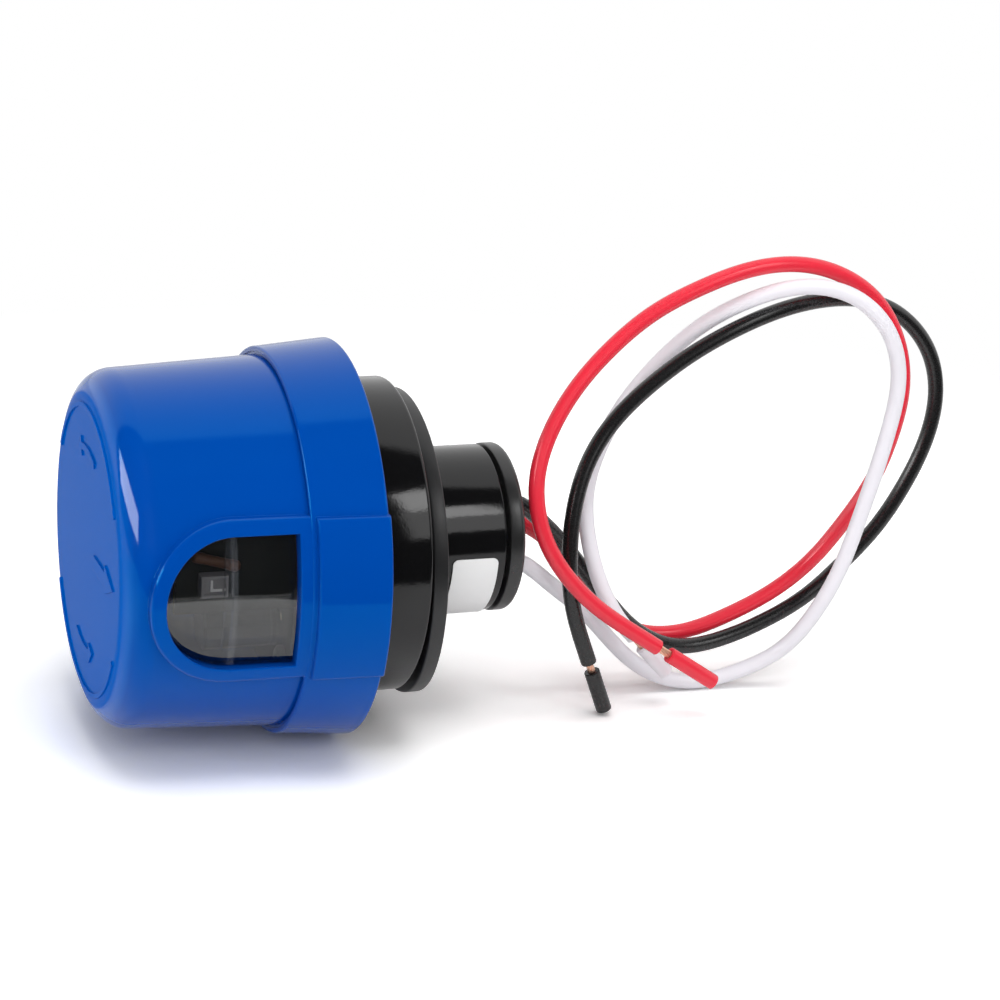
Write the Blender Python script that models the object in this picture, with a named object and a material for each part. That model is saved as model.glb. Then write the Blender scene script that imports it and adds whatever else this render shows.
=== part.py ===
"""A photocell switch lying on its side: a twist-lock photocontrol in its wired receptacle.

Metres, +Z up. The common axis runs along +X, from the domed end of the cap to the leads, and
the light window faces -Y. Every piece is modelled in an axis frame: x is measured along that
axis from the open rim of the cap's skirt, and an angle about it is in degrees from -Y towards
+Z. Two empties place that frame, one for each body, so that the part rests on the table at
z = 0 with the origin under the middle of its box. The photocontrol turns about its own empty.
"""

import math

import bmesh
import bpy
import numpy as np
from mathutils import Matrix, Vector

for old in list(bpy.data.objects):
    bpy.data.objects.remove(old)

# Fits and fineness
GAP = 0.0003
TURN_STEPS = 60
RING_STEPS = 40
SMALL_STEPS = 12
PILOT_STEPS = 8
ARC_STEP_DEG = 6.0
ARC_STEP = 0.0020
SHARP_DEG = 40.0
SINK = 0.0004

# Cap: skirt and dome, moulded in one
CAP_LENGTH = 0.0524
SKIRT_LENGTH = 0.0157
SKIRT_RIM_R = 0.0420
SKIRT_DRAFT = 0.0892
DOME_STEP = 0.0017
DOME_DRAFT = 0.0518
DOME_FILLET = 0.0068
CAP_WALL = 0.0020
STEP_WALL = 0.0017
EDGE_ROUND = 0.0005
GROOVE_WIDTH = 0.0006
GROOVE_DEPTH = 0.0005

# Light window: a D with its round side towards the domed end
WINDOW_CENTRE = -0.0310
WINDOW_R = 0.0138
WINDOW_SIDE = -0.0180
FRAME_BORDER = 0.0032
FRAME_RISE = 0.0015
FRAME_DRAFT = 0.0240
BOSS_RISE = 0.0010
BOSS_DRAFT = 0.0550
BOSS_LIP = 0.0002
LENS_RECESS = 0.0002
LENS_FLANGE = 0.0018
LENS_WALL = 0.0014
LENS_RIB_AT = -0.0309
LENS_RIB_WIDTH = 0.0016
LENS_RIB_DEPTH = 0.0016
LENS_RIB_HALF = 0.0120

# Marks raised on the domed end
RELIEF = 0.00035
RING_INSET = 0.0000985
RING_WIDTH = 0.0010
RING_SPANS_DEG = ((-150.0, -30.0), (30.0, 150.0))
TURN_ARROW_R = 0.0215
TURN_ARROW_WIDTH = 0.0014
TURN_ARROW_SPANS_DEG = ((70.0, 112.0), (-112.0, -70.0))
TURN_ARROW_HEAD_DEG = 9.0
POINTER_TIP_R = 0.0262
POINTER_HEAD = 0.0075
POINTER_TAIL_R = 0.0080
POINTER_WIDTH = 0.0030

# Base plate, its screws and gasket
BASE_AT = -0.0070
BASE_THICK = 0.0030
SCREW_INSET = 0.0074
BASE_SCREW_DEG = (60.0, 180.0, -60.0)
BOSS_R = 0.0034
BOSS_REACH = 0.0165
GASKET_MARGIN = 0.0011
GASKET_WIDTH = 0.0050

# Screws: head, shank and cross recess
HEAD_R = 0.0025
HEAD_HEIGHT = 0.0017
SHANK_R = 0.0011
SHANK_LENGTH = 0.0100
SHORT_SHANK_LENGTH = 0.0052
RECESS_REACH = 0.0014
RECESS_WIDTH = 0.0005
RECESS_DEPTH = 0.0008
CROWN_SHARE = 0.7
RIM_SHARE = 0.6

# Twist-lock blades: (name, angle, half width)
TWIST_DEG = 15.0
BLADE_INSET = 0.0014
BLADE_THICK = 0.0015
BLADE_REACH = 0.0076
HOOK_DEG = 7.5
HOOK_HEIGHT = 0.0020
TANG_HALF_DEG = 3.5
SLOT_MARGIN_DEG = 1.0
SLOT_MARGIN = 0.0005
POLES = (("neutral", -60.0, 15.5), ("line", 60.0, 12.0), ("load", 180.0, 12.0))

# Circuit board, its posts and what it carries: (low, high) along y and z, and reach along x
BOARD_MARGIN = 0.0002
BOARD_THICK = 0.0016
POST_HEIGHT = 0.0042
POST_R = 0.0026
POST_INSET = 0.0060
POST_DEG = (60.0, 180.0, -60.0)
PART_ROUND = 0.0006
RELAY_MARGIN = 0.0010
RELAY_WIDTH = 0.0150
RELAY_Z = (-0.0080, 0.0160)
RELAY_REACH = 0.0190
FILM_Y = (-0.0140, -0.0060)
FILM_Z = (-0.0010, 0.0170)
FILM_REACH = 0.0140
CAN_YZ = (-0.0040, -0.0170)
CAN_R = 0.0050
CAN_REACH = 0.0160
DISC_YZ = (0.0040, 0.0220)
DISC_R = 0.0070
DISC_THICK = 0.0045
DISC_ROUND = 0.0018
RESISTOR_YZ = (0.0140, -0.0140)
RESISTOR_R = 0.0022
RESISTOR_LENGTH = 0.0140
SENSOR_BOARD_SETBACK = 0.0029
SENSOR_BOARD_THICK = 0.0016
SENSOR_BOARD_Z = (-0.0050, 0.0110)
SENSOR_BOARD_REACH = 0.0271
SENSOR_X = (-0.0360, -0.0304)
SENSOR_Z = (-0.0008, 0.0038)
SENSOR_DEPTH = 0.0029
RESISTOR_WAIST = 0.88
RESISTOR_ROUND = 0.4
RESISTOR_BULGE = 1.6
RESISTOR_NECK = 2.1
SMALL_RESISTOR_R = 0.0012
SMALL_RESISTOR_LENGTH = 0.0100
SMALL_RESISTOR_XZ = (-0.0327, 0.0063)
SMALL_RESISTOR_TILT_DEG = 16.0

# Receptacle housing, face and screws
HOUSING_AT = -0.0010
HOUSING_R = 0.0334
HOUSING_LENGTH = 0.0128
HOUSING_WALL = 0.0028
SHOULDER_THICK = 0.0026
SHOULDER_ROUND = 0.0009
BARREL_R = 0.0179
BARREL_LENGTH = 0.0213
BARREL_WALL = 0.0020
FACE_THICK = 0.0030
POCKET_MARGIN = 0.0010
FACE_SCREW_R = 0.0225
FACE_SCREW_DEG = (0.0, 120.0, -120.0)
FACE_SCREW_LENGTH = 0.0060

# Contacts: a leaf each side of the blade, a strap down the barrel and a crimp on the lead
LEAF_THICK = 0.0006
LEAF_HALF_DEG = 9.0
BRIDGE_THICK = 0.0008
STRAP_MARGIN = 0.0026
STRAP_END = 0.0210
CRIMP_R = 0.0029
CRIMP_REACH = 0.0070
CRIMP_FLOOR = 0.0007

# Mounting gasket, end cap and label
WASHER_OUTER_R = 0.0326
WASHER_THICK = 0.0032
WASHER_ROUND = 0.0004
END_GROOVE = 0.0008
END_OVERHANG = 0.0002
END_THICK = 0.0035
END_WALL = 0.0022
END_ROUND = 0.0012
SPIGOT_LENGTH = 0.0034
COLLAR_R = 0.0032
COLLAR_HEIGHT = 0.0010
LABEL_AT = 0.0212
LABEL_WIDTH = 0.0100
LABEL_DEG = (-93.0, -2.7)
LABEL_LIFT = 0.0001
LABEL_THICK = 0.00025
LABEL_CORNER = 0.0012

# Leads: where each leaves the end cap, the bared stretch, the slug of insulation left on its
# end, and the route that the stiff wire follows in the axis frame, chosen by hand
LEAD_R = 0.00175
LEAD_AT_R = 0.0076
LEAD_STEP = 0.0100
LEAD_SIDES = 8
STRANDS_R = 0.00065
STRANDS_IN_SLUG = 0.7
LEADS = {
    "red": {
        "angle": 180.0,
        "bared": 0.0025,
        "slug": 0.0142,
        "route": (
            (0.0420, 0.0076, -0.0006), (0.0455, 0.0076, -0.0022), (0.0505, 0.0075, -0.0054),
            (0.0580, 0.0075, -0.0135), (0.0650, 0.0070, -0.0225), (0.0740, 0.0065, -0.0290),
            (0.0855, 0.0060, -0.0300), (0.0965, 0.0055, -0.0265), (0.1065, 0.0050, -0.0215),
            (0.1150, 0.0035, -0.0140), (0.1210, 0.0010, -0.0045), (0.1260, -0.0010, 0.0055),
            (0.1300, -0.0010, 0.0165), (0.1315, -0.0010, 0.0275), (0.1290, -0.0010, 0.0385),
            (0.1225, -0.0010, 0.0480), (0.1130, -0.0010, 0.0540), (0.1015, -0.0015, 0.0565),
            (0.0905, -0.0020, 0.0555), (0.0795, -0.0025, 0.0520), (0.0690, -0.0030, 0.0470),
            (0.0600, -0.0040, 0.0405), (0.0515, -0.0060, 0.0325), (0.0450, -0.0085, 0.0235),
            (0.0413, -0.0115, 0.0135), (0.0425, -0.0140, 0.0025), (0.0480, -0.0150, -0.0070),
            (0.0560, -0.0155, -0.0150), (0.0650, -0.0160, -0.0213), (0.0700, -0.0160, -0.0246),
        ),
    },
    "white": {
        "angle": -60.0,
        "bared": 0.0032,
        "slug": 0.0088,
        "route": (
            (0.0415, -0.0037, -0.0073), (0.0450, -0.0035, -0.0096), (0.0500, -0.0030, -0.0138),
            (0.0580, -0.0010, -0.0205), (0.0660, 0.0000, -0.0290), (0.0745, 0.0005, -0.0363),
            (0.0855, 0.0005, -0.0400), (0.0965, -0.0005, -0.0382), (0.1060, -0.0035, -0.0323),
            (0.1120, -0.0065, -0.0230), (0.1165, -0.0080, -0.0125), (0.1200, -0.0080, -0.0015),
            (0.1230, -0.0080, 0.0095), (0.1255, -0.0080, 0.0205), (0.1265, -0.0080, 0.0320),
            (0.1225, -0.0080, 0.0430), (0.1140, -0.0065, 0.0503), (0.1030, -0.0040, 0.0520),
            (0.0925, -0.0010, 0.0487), (0.0830, 0.0015, 0.0430), (0.0740, 0.0025, 0.0350),
            (0.0670, 0.0035, 0.0260), (0.0618, 0.0040, 0.0160), (0.0585, 0.0025, 0.0050),
            (0.0585, -0.0015, -0.0055), (0.0615, -0.0052, -0.0160), (0.0655, -0.0070, -0.0225),
            (0.0680, -0.0072, -0.0252),
        ),
    },
    "black": {
        "angle": 60.0,
        "bared": 0.0018,
        "slug": 0.0108,
        "route": (
            (0.0412, -0.0037, 0.0056), (0.0445, -0.0030, 0.0030), (0.0490, -0.0017, -0.0012),
            (0.0565, 0.0005, -0.0095), (0.0640, 0.0015, -0.0185), (0.0715, 0.0015, -0.0265),
            (0.0815, 0.0015, -0.0315), (0.0930, 0.0020, -0.0310), (0.1040, 0.0025, -0.0275),
            (0.1145, 0.0035, -0.0225), (0.1235, 0.0050, -0.0160), (0.1315, 0.0055, -0.0080),
            (0.1380, 0.0060, 0.0015), (0.1425, 0.0060, 0.0120), (0.1440, 0.0060, 0.0235),
            (0.1405, 0.0060, 0.0345), (0.1325, 0.0060, 0.0425), (0.1220, 0.0045, 0.0465),
            (0.1110, 0.0020, 0.0473), (0.1000, -0.0005, 0.0460), (0.0890, -0.0020, 0.0425),
            (0.0790, -0.0025, 0.0375), (0.0695, -0.0030, 0.0310), (0.0610, -0.0035, 0.0230),
            (0.0545, -0.0060, 0.0140), (0.0510, -0.0090, 0.0035), (0.0503, -0.0110, -0.0075),
            (0.0515, -0.0110, -0.0155), (0.0537, -0.0110, -0.0225), (0.0563, -0.0106, -0.0290),
        ),
    },
}


def rounded(corners):
    """The (x, radius) outline through (x, radius, fillet) corners, each fillet as a short arc."""
    outline = []
    for index, (x, r, fillet) in enumerate(corners):
        here = Vector((x, r))
        if fillet <= 0.0:
            outline.append((x, r))
            continue
        before = Vector(corners[index - 1][:2]) - here
        after = Vector(corners[(index + 1) % len(corners)][:2]) - here
        half = before.angle(after) / 2
        back = fillet / math.tan(half)
        start = here + before.normalized() * back
        end = here + after.normalized() * back
        centre = here + (before.normalized() + after.normalized()).normalized() * fillet / math.sin(half)
        arc_steps = math.ceil(fillet / ARC_STEP)
        for step in range(arc_steps + 1):
            blend = start.lerp(end, step / arc_steps) - centre
            outline.append(tuple(centre + blend.normalized() * fillet))
    return outline


def placed(x, radius, degrees):
    """A point of the axis frame from its distance along the axis, its radius and its angle."""
    turn = math.radians(degrees)
    return Vector((x, -radius * math.cos(turn), radius * math.sin(turn)))


def turned(profile, steps=TURN_STEPS, centre=(0.0, 0.0)):
    """A solid of revolution about a line along x. A profile that starts and ends on it stays open."""
    shape = bmesh.new()
    first = 180.0 / steps - 90.0
    corners = [shape.verts.new(placed(x, r, first)) for x, r in profile]
    pairs = list(zip(corners, corners[1:]))
    if profile[0][1] > 0.0:
        pairs.append((corners[-1], corners[0]))
    edges = [shape.edges.new(pair) for pair in pairs]
    bmesh.ops.spin(
        shape,
        geom=corners + edges,
        cent=(0.0, 0.0, 0.0),
        axis=(1.0, 0.0, 0.0),
        angle=math.tau,
        steps=steps,
        use_merge=True,
    )
    bmesh.ops.remove_doubles(shape, verts=shape.verts, dist=1e-7)
    bmesh.ops.recalc_face_normals(shape, faces=shape.faces)
    bmesh.ops.translate(shape, verts=shape.verts, vec=(0.0, *centre))
    return shape


def lofted(rings):
    """A closed solid through a row of like outlines, with a flat face over each end."""
    shape = bmesh.new()
    rows = [[shape.verts.new(point) for point in ring] for ring in rings]
    for row, following in zip(rows, rows[1:]):
        for index in range(len(row)):
            after = (index + 1) % len(row)
            shape.faces.new((row[index], row[after], following[after], following[index]))
    shape.faces.new(rows[0])
    shape.faces.new(rows[-1])
    bmesh.ops.recalc_face_normals(shape, faces=shape.faces)
    return shape


def extruded(outline, low, high, axis):
    """A flat outline pushed along an axis: (y, z) points along x, or (x, z) points along y."""
    if axis == "x":
        return lofted([[Vector((at, y, z)) for y, z in outline] for at in (low, high)])
    return lofted([[Vector((x, at, z)) for x, z in outline] for at in (low, high)])


def angles(first, last):
    """Angles from first to last, a few degrees apart."""
    count = max(1, math.ceil(abs(last - first) / ARC_STEP_DEG))
    return [first + (last - first) * step / count for step in range(count + 1)]


def swept(profile, first, last):
    """Part of a turned solid, between two angles."""
    return lofted([[placed(x, r, turn) for x, r in profile] for turn in angles(first, last)])


def sector(inner, outer, first, last, low, high):
    return swept([(low, inner), (low, outer), (high, outer), (high, inner)], first, last)


def box(x, y, z):
    return extruded([(y[0], z[0]), (y[1], z[0]), (y[1], z[1]), (y[0], z[1])], x[0], x[1], "x")


def rod(low, high, radius, centre, steps=SMALL_STEPS):
    return turned([(low, 0.0), (low, radius), (high, radius), (high, 0.0)], steps, centre)


def ring_points(radius, places):
    """The (y, z) centres of things that stand at these angles on a circle."""
    return [tuple(placed(0.0, radius, degrees))[1:] for degrees in places]


def together(shapes):
    """Several separate closed shapes as one, for a cutter or an addition."""
    whole = bmesh.new()
    for shape in shapes:
        piece = bpy.data.meshes.new("piece")
        shape.to_mesh(piece)
        shape.free()
        whole.from_mesh(piece)
        bpy.data.meshes.remove(piece)
    return whole


def material(name, colour, roughness, metallic=0.0):
    finish = bpy.data.materials.new(name)
    finish.use_nodes = True
    shader = finish.node_tree.nodes["Principled BSDF"]
    shader.inputs["Base Color"].default_value = (*colour, 1.0)
    shader.inputs["Roughness"].default_value = roughness
    shader.inputs["Metallic"].default_value = metallic
    return finish


def add(name, shape, parent, finish=None):
    """An object made from a shape, smooth apart from its sharp edges, under a body's empty."""
    mesh = bpy.data.meshes.new(name)
    shape.to_mesh(mesh)
    shape.free()
    mesh.shade_smooth()
    mesh.set_sharp_from_angle(angle=math.radians(SHARP_DEG))
    made = bpy.data.objects.new(name, mesh)
    bpy.context.scene.collection.objects.link(made)
    made.parent = parent
    if finish is not None:
        mesh.materials.append(finish)
    return made


def combine(target, shape, operation, label):
    """Joins a shape to an object, cuts it away or keeps what both share, with a Boolean."""
    tool = add(f"{target.name}_{label}", shape, target.parent)
    tool.hide_render = True
    tool.display_type = "WIRE"
    change = target.modifiers.new(label, "BOOLEAN")
    change.operation = operation
    change.solver = "EXACT"
    change.object = tool
    return tool


def skirt_outer(x):
    return SKIRT_RIM_R + SKIRT_DRAFT * x


def dome_outer(x):
    return skirt_outer(-SKIRT_LENGTH) - DOME_STEP + DOME_DRAFT * (x + SKIRT_LENGTH)


def cap_profile():
    """The cap's section, from the axis outside the domed end to the axis inside it."""
    step = -SKIRT_LENGTH
    top = -CAP_LENGTH
    base_r = dome_outer(step)
    cavity = step + STEP_WALL
    return rounded(
        [
            (top, 0.0, 0.0),
            (top, dome_outer(top), DOME_FILLET),
            (step, base_r, 0.0),
            (step + GROOVE_DEPTH, base_r, 0.0),
            (step + GROOVE_DEPTH, base_r + GROOVE_WIDTH, 0.0),
            (step, base_r + GROOVE_WIDTH, 0.0),
            (step, skirt_outer(step), EDGE_ROUND),
            (0.0, SKIRT_RIM_R, EDGE_ROUND),
            (0.0, SKIRT_RIM_R - CAP_WALL, 0.0),
            (cavity, skirt_outer(cavity) - CAP_WALL, EDGE_ROUND),
            (cavity, base_r - CAP_WALL, 0.0),
            (top + CAP_WALL, dome_outer(top) - CAP_WALL, DOME_FILLET - CAP_WALL),
            (top + CAP_WALL, 0.0, 0.0),
        ]
    )


def boss_profile():
    """The section of the strip that stands out of the skirt below the window."""
    high = BOSS_LIP
    low = -SKIRT_LENGTH + GROOVE_DEPTH + CAP_WALL / 4
    outer = SKIRT_RIM_R + BOSS_RISE
    return rounded(
        [
            (low, skirt_outer(low) - CAP_WALL / 2, 0.0),
            (low, outer + BOSS_DRAFT * low, EDGE_ROUND),
            (high, outer, EDGE_ROUND),
            (high, SKIRT_RIM_R - CAP_WALL / 2, 0.0),
        ]
    )


# Half a step of the turned shapes lies each side of the lowest line, so they rest on a flat.
FLAT = math.cos(math.pi / TURN_STEPS)
SKIRT_WIDEST = FLAT * max(r for x, r in cap_profile())
BOSS_WIDEST = FLAT * max(r for x, r in boss_profile())
SHOULDER_AT = HOUSING_AT + HOUSING_LENGTH
BARREL_END = SHOULDER_AT + BARREL_LENGTH
END_AT = BARREL_END + END_GROOVE
COLLAR_END = END_AT + END_THICK + COLLAR_HEIGHT
AXIS = Vector(
    (
        (CAP_LENGTH + RELIEF - COLLAR_END) / 2,
        (BOSS_WIDEST - SKIRT_WIDEST) / 2,
        SKIRT_WIDEST,
    )
)
BASE_FACE = BASE_AT + BASE_THICK
BASE_SCREW_R = SKIRT_RIM_R - SCREW_INSET
GASKET_OUTER_R = BASE_SCREW_R - HEAD_R - GASKET_MARGIN
GASKET_INNER_R = GASKET_OUTER_R - GASKET_WIDTH
BOARD_R = BASE_SCREW_R - BOSS_R - BOARD_MARGIN
POST_AT_R = BOARD_R - POST_INSET
SENSOR_BOARD_Y = SENSOR_BOARD_SETBACK - BOARD_R
RING_R = dome_outer(-CAP_LENGTH) - DOME_FILLET - RING_INSET
RELAY_HIGH_Y = POST_AT_R - HEAD_R - RELAY_MARGIN
STRAP_R = BARREL_R - BARREL_WALL - STRAP_MARGIN - BRIDGE_THICK
END_R = BARREL_R + END_OVERHANG
FACE_BACK = HOUSING_AT + FACE_THICK
FLOOR_AT = SHOULDER_AT - SHOULDER_THICK
BOARD_AT = BASE_AT - POST_HEIGHT - GAP
BOARD_BACK = BOARD_AT - BOARD_THICK
PARTS_AT = BOARD_BACK - GAP
BLADE_R = BARREL_R - BLADE_INSET
BLADE_INNER = BLADE_R - BLADE_THICK / 2
BLADE_OUTER = BLADE_R + BLADE_THICK / 2


def body_frame(name):
    frame = bpy.data.objects.new(name, None)
    frame.location = AXIS
    bpy.context.scene.collection.objects.link(frame)
    return frame


BLUE = material("blue_moulding", (0.004, 0.075, 0.42), 0.30)
SMOKED = material("smoked_window", (0.006, 0.007, 0.008), 0.08)
BLACK = material("black_moulding", (0.010, 0.010, 0.011), 0.22)
DARK = material("dark_base", (0.020, 0.020, 0.021), 0.45)
RUBBER = material("gasket_rubber", (0.012, 0.012, 0.012), 0.75)
BRASS = material("brass_strip", (0.72, 0.55, 0.24), 0.30, 1.0)
STEEL = material("screw_steel", (0.62, 0.62, 0.64), 0.35, 1.0)
COPPER = material("copper_strands", (0.80, 0.42, 0.26), 0.32, 1.0)
BOARD_GREEN = material("board_green", (0.02, 0.16, 0.06), 0.45)
RELAY_BLACK = material("relay_black", (0.015, 0.015, 0.017), 0.40)
FILM_YELLOW = material("film_yellow", (0.62, 0.42, 0.05), 0.40)
CAN_SLEEVE = material("can_sleeve", (0.03, 0.03, 0.05), 0.35)
DISC_BLUE = material("disc_blue", (0.04, 0.10, 0.35), 0.35)
RESISTOR_TAN = material("resistor_tan", (0.55, 0.36, 0.20), 0.50)
CLEAR = material("clear_epoxy", (0.80, 0.80, 0.78), 0.08)
LABEL_WHITE = material("label_white", (0.82, 0.82, 0.80), 0.45)
INSULATION = {
    "red": material("red_insulation", (0.55, 0.010, 0.012), 0.35),
    "white": material("white_insulation", (0.78, 0.78, 0.76), 0.35),
    "black": material("black_insulation", (0.010, 0.010, 0.010), 0.35),
}

receptacle = body_frame("receptacle_axis")
photocontrol = body_frame("twist_lock_axis")


def window_outline(radius, side):
    """The window's D: an arc about its centre, and straight edges to the flat side at x = side."""
    arc = [90.0 + turn for turn in angles(0.0, 180.0)]
    points = [
        (
            WINDOW_CENTRE + radius * math.cos(math.radians(turn)),
            radius * math.sin(math.radians(turn)),
        )
        for turn in arc
    ]
    return [(side, radius)] + points + [(side, -radius)]


def window_prism(radius, side):
    """The window's D, extruded outwards from behind the dome's wall."""
    return extruded(window_outline(radius, side), -1.5 * SKIRT_RIM_R, -0.5 * SKIRT_RIM_R, "y")


def dome_shell(inner, outer, low, high, draft=DOME_DRAFT):
    """A turned shell between two depths under the dome's surface. A rise is a negative depth."""
    base = -SKIRT_LENGTH
    return turned(
        [
            (low, dome_outer(low) - inner),
            (low, dome_outer(base) + draft * (low - base) - outer),
            (high, dome_outer(base) + draft * (high - base) - outer),
            (high, dome_outer(high) - inner),
        ]
    )


def turn_arrow(first, last):
    """A curved arrow on the domed end, with its head at the last angle."""
    head = math.copysign(TURN_ARROW_HEAD_DEG, last - first)
    half = TURN_ARROW_WIDTH / 2
    shaft = angles(first, last - head)
    outer = [placed(0.0, TURN_ARROW_R + half, turn) for turn in shaft]
    inner = [placed(0.0, TURN_ARROW_R - half, turn) for turn in reversed(shaft)]
    barb = [
        placed(0.0, TURN_ARROW_R + 3 * half, last - head),
        placed(0.0, TURN_ARROW_R, last),
        placed(0.0, TURN_ARROW_R - 3 * half, last - head),
    ]
    return [(point.y, point.z) for point in outer + barb + inner]


def pointer():
    """The straight arrow that points to the window."""
    half = POINTER_WIDTH / 2
    neck = POINTER_TIP_R - POINTER_HEAD
    return [
        (-POINTER_TIP_R, 0.0),
        (-neck, -2 * half),
        (-neck, -half),
        (-POINTER_TAIL_R, -half),
        (-POINTER_TAIL_R, half),
        (-neck, half),
        (-neck, 2 * half),
    ]


def relief_marks():
    low = -CAP_LENGTH - RELIEF
    high = -CAP_LENGTH + SINK
    marks = [
        sector(RING_R - RING_WIDTH / 2, RING_R + RING_WIDTH / 2, *span, low, high)
        for span in RING_SPANS_DEG
    ]
    marks += [extruded(turn_arrow(*span), low, high, "x") for span in TURN_ARROW_SPANS_DEG]
    marks.append(extruded(pointer(), low, high, "x"))
    return together(marks)


def make_cap():
    cap = add("cap", turned(cap_profile()), photocontrol, BLUE)
    half = WINDOW_R + FRAME_BORDER
    boss = combine(cap, turned(boss_profile()), "UNION", "boss")
    strip = box((-1.2 * SKIRT_LENGTH, SKIRT_LENGTH), (-1.5 * SKIRT_RIM_R, 0.0), (-half, half))
    combine(boss, strip, "INTERSECT", "strip")
    frame_end = WINDOW_CENTRE - half - GAP
    joint = -SKIRT_LENGTH + GROOVE_DEPTH + CAP_WALL / 4
    frame = combine(
        cap,
        dome_shell(CAP_WALL / 2, -FRAME_RISE, frame_end, joint, FRAME_DRAFT),
        "UNION",
        "frame",
    )
    combine(frame, window_prism(half, joint + GAP), "INTERSECT", "outline")
    combine(cap, window_prism(WINDOW_R, WINDOW_SIDE), "DIFFERENCE", "window")
    centres = ring_points(BASE_SCREW_R, BASE_SCREW_DEG)
    low = BASE_AT - GAP - BOSS_REACH
    high = BASE_AT - GAP
    posts = together([rod(low, high, BOSS_R, centre) for centre in centres])
    combine(cap, posts, "UNION", "posts")
    pilot = low + CAP_WALL
    holes = [rod(pilot, high + SINK, SHANK_R + GAP, centre, PILOT_STEPS) for centre in centres]
    combine(cap, together(holes), "DIFFERENCE", "pilots")
    combine(cap, relief_marks(), "UNION", "marks")


def make_lens():
    """The smoked window: a plug in the frame's opening, a flange behind it and one rib."""
    seat = CAP_WALL + GAP
    end = WINDOW_CENTRE - WINDOW_R - LENS_FLANGE - GAP
    start = -SKIRT_LENGTH
    lens = add("window_lens", dome_shell(seat + LENS_WALL, seat, end, start), photocontrol, SMOKED)
    flange_side = WINDOW_SIDE + LENS_FLANGE - GAP
    combine(lens, window_prism(WINDOW_R + LENS_FLANGE - GAP, flange_side), "INTERSECT", "flange")
    depth = seat + LENS_WALL / 2
    plug = combine(lens, dome_shell(depth, LENS_RECESS, end, start), "UNION", "plug")
    combine(plug, window_prism(WINDOW_R - GAP, WINDOW_SIDE - GAP), "INTERSECT", "plug_outline")
    low = LENS_RIB_AT - LENS_RIB_WIDTH / 2
    high = LENS_RIB_AT + LENS_RIB_WIDTH / 2
    rib = combine(lens, dome_shell(seat + LENS_WALL + LENS_RIB_DEPTH, depth, low, high), "UNION", "rib")
    reach = box((end, start), (-1.5 * SKIRT_RIM_R, 0.0), (-LENS_RIB_HALF, LENS_RIB_HALF))
    combine(rib, reach, "INTERSECT", "rib_reach")


def make_base_plate():
    """The disc that closes the cap, with the circuit board's posts on its inner side."""
    radius = skirt_outer(BASE_AT) - CAP_WALL - GAP
    disc = [(BASE_AT, 0.0), (BASE_AT, radius), (BASE_FACE, radius), (BASE_FACE, 0.0)]
    plate = add("base_plate", turned(disc, RING_STEPS), photocontrol, DARK)
    centres = ring_points(POST_AT_R, POST_DEG)
    low = BASE_AT - POST_HEIGHT
    posts = together([rod(low, BASE_AT + SINK, POST_R, centre) for centre in centres])
    combine(plate, posts, "UNION", "posts")
    bore = SHANK_R + GAP
    pilots = [rod(low - SINK, BASE_AT + SINK, bore, centre, PILOT_STEPS) for centre in centres]
    combine(plate, together(pilots), "DIFFERENCE", "pilots")
    through = [
        rod(BASE_AT - SINK, BASE_FACE + SINK, bore, centre, PILOT_STEPS)
        for centre in ring_points(BASE_SCREW_R, BASE_SCREW_DEG)
    ]
    combine(plate, together(through), "DIFFERENCE", "screw_holes")
    combine(plate, tang_slots(BASE_AT - SINK, BASE_FACE + SINK), "DIFFERENCE", "tang_slots")


def tang_slots(low, high):
    """Cutters for the openings that the blades' tangs pass through."""
    half = TANG_HALF_DEG + SLOT_MARGIN_DEG
    inner = BLADE_INNER - GAP
    outer = BLADE_OUTER + GAP
    return together(
        [sector(inner, outer, at - half, at + half, low, high) for name, at, width in POLES]
    )


def make_gasket():
    low = BASE_FACE + GAP
    high = HOUSING_AT - GAP
    inner = [(low, GASKET_INNER_R), (high, GASKET_INNER_R)]
    outer = [(high, GASKET_OUTER_R), (low, GASKET_OUTER_R)]
    add("base_gasket", turned(inner + outer, RING_STEPS), photocontrol, RUBBER)


def curved_plate(cells, inner, outer):
    """A rolled sheet between two radii that covers these (angle, angle, x, x) cells."""
    edges = sorted({edge for cell in cells for edge in cell[:2]})
    turns = sorted({turn for first, last in zip(edges, edges[1:]) for turn in angles(first, last)})
    rows = sorted({at for cell in cells for at in cell[2:]})
    shape = bmesh.new()
    corners = {}
    for first, last in zip(turns, turns[1:]):
        for low, high in zip(rows, rows[1:]):
            turn = (first + last) / 2
            at = (low + high) / 2
            if not any(c[0] < turn < c[1] and c[2] < at < c[3] for c in cells):
                continue
            ring = [(first, low), (last, low), (last, high), (first, high)]
            for key in ring:
                if key not in corners:
                    corners[key] = shape.verts.new(placed(key[1], inner, key[0]))
            shape.faces.new([corners[key] for key in ring])
    pushed = bmesh.ops.extrude_face_region(shape, geom=list(shape.faces), use_keep_orig=True)
    for item in pushed["geom"]:
        if isinstance(item, bmesh.types.BMVert):
            item.co.yz = item.co.yz * (outer / inner)
    bmesh.ops.recalc_face_normals(shape, faces=shape.faces)
    return shape


def make_blade(name, at, half):
    """A blade of rolled brass: its hook locks behind the face, and its tang enters the board."""
    foot = BASE_FACE + GAP
    hook = FACE_BACK + GAP
    cells = [
        (at - half, at + half, foot, BLADE_REACH),
        (at - half - HOOK_DEG, at - half, hook, hook + HOOK_HEIGHT),
        (at - TANG_HALF_DEG, at + TANG_HALF_DEG, BOARD_BACK + GAP, foot),
    ]
    add(f"blade_{name}", curved_plate(cells, BLADE_INNER, BLADE_OUTER), photocontrol, BRASS)


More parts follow.
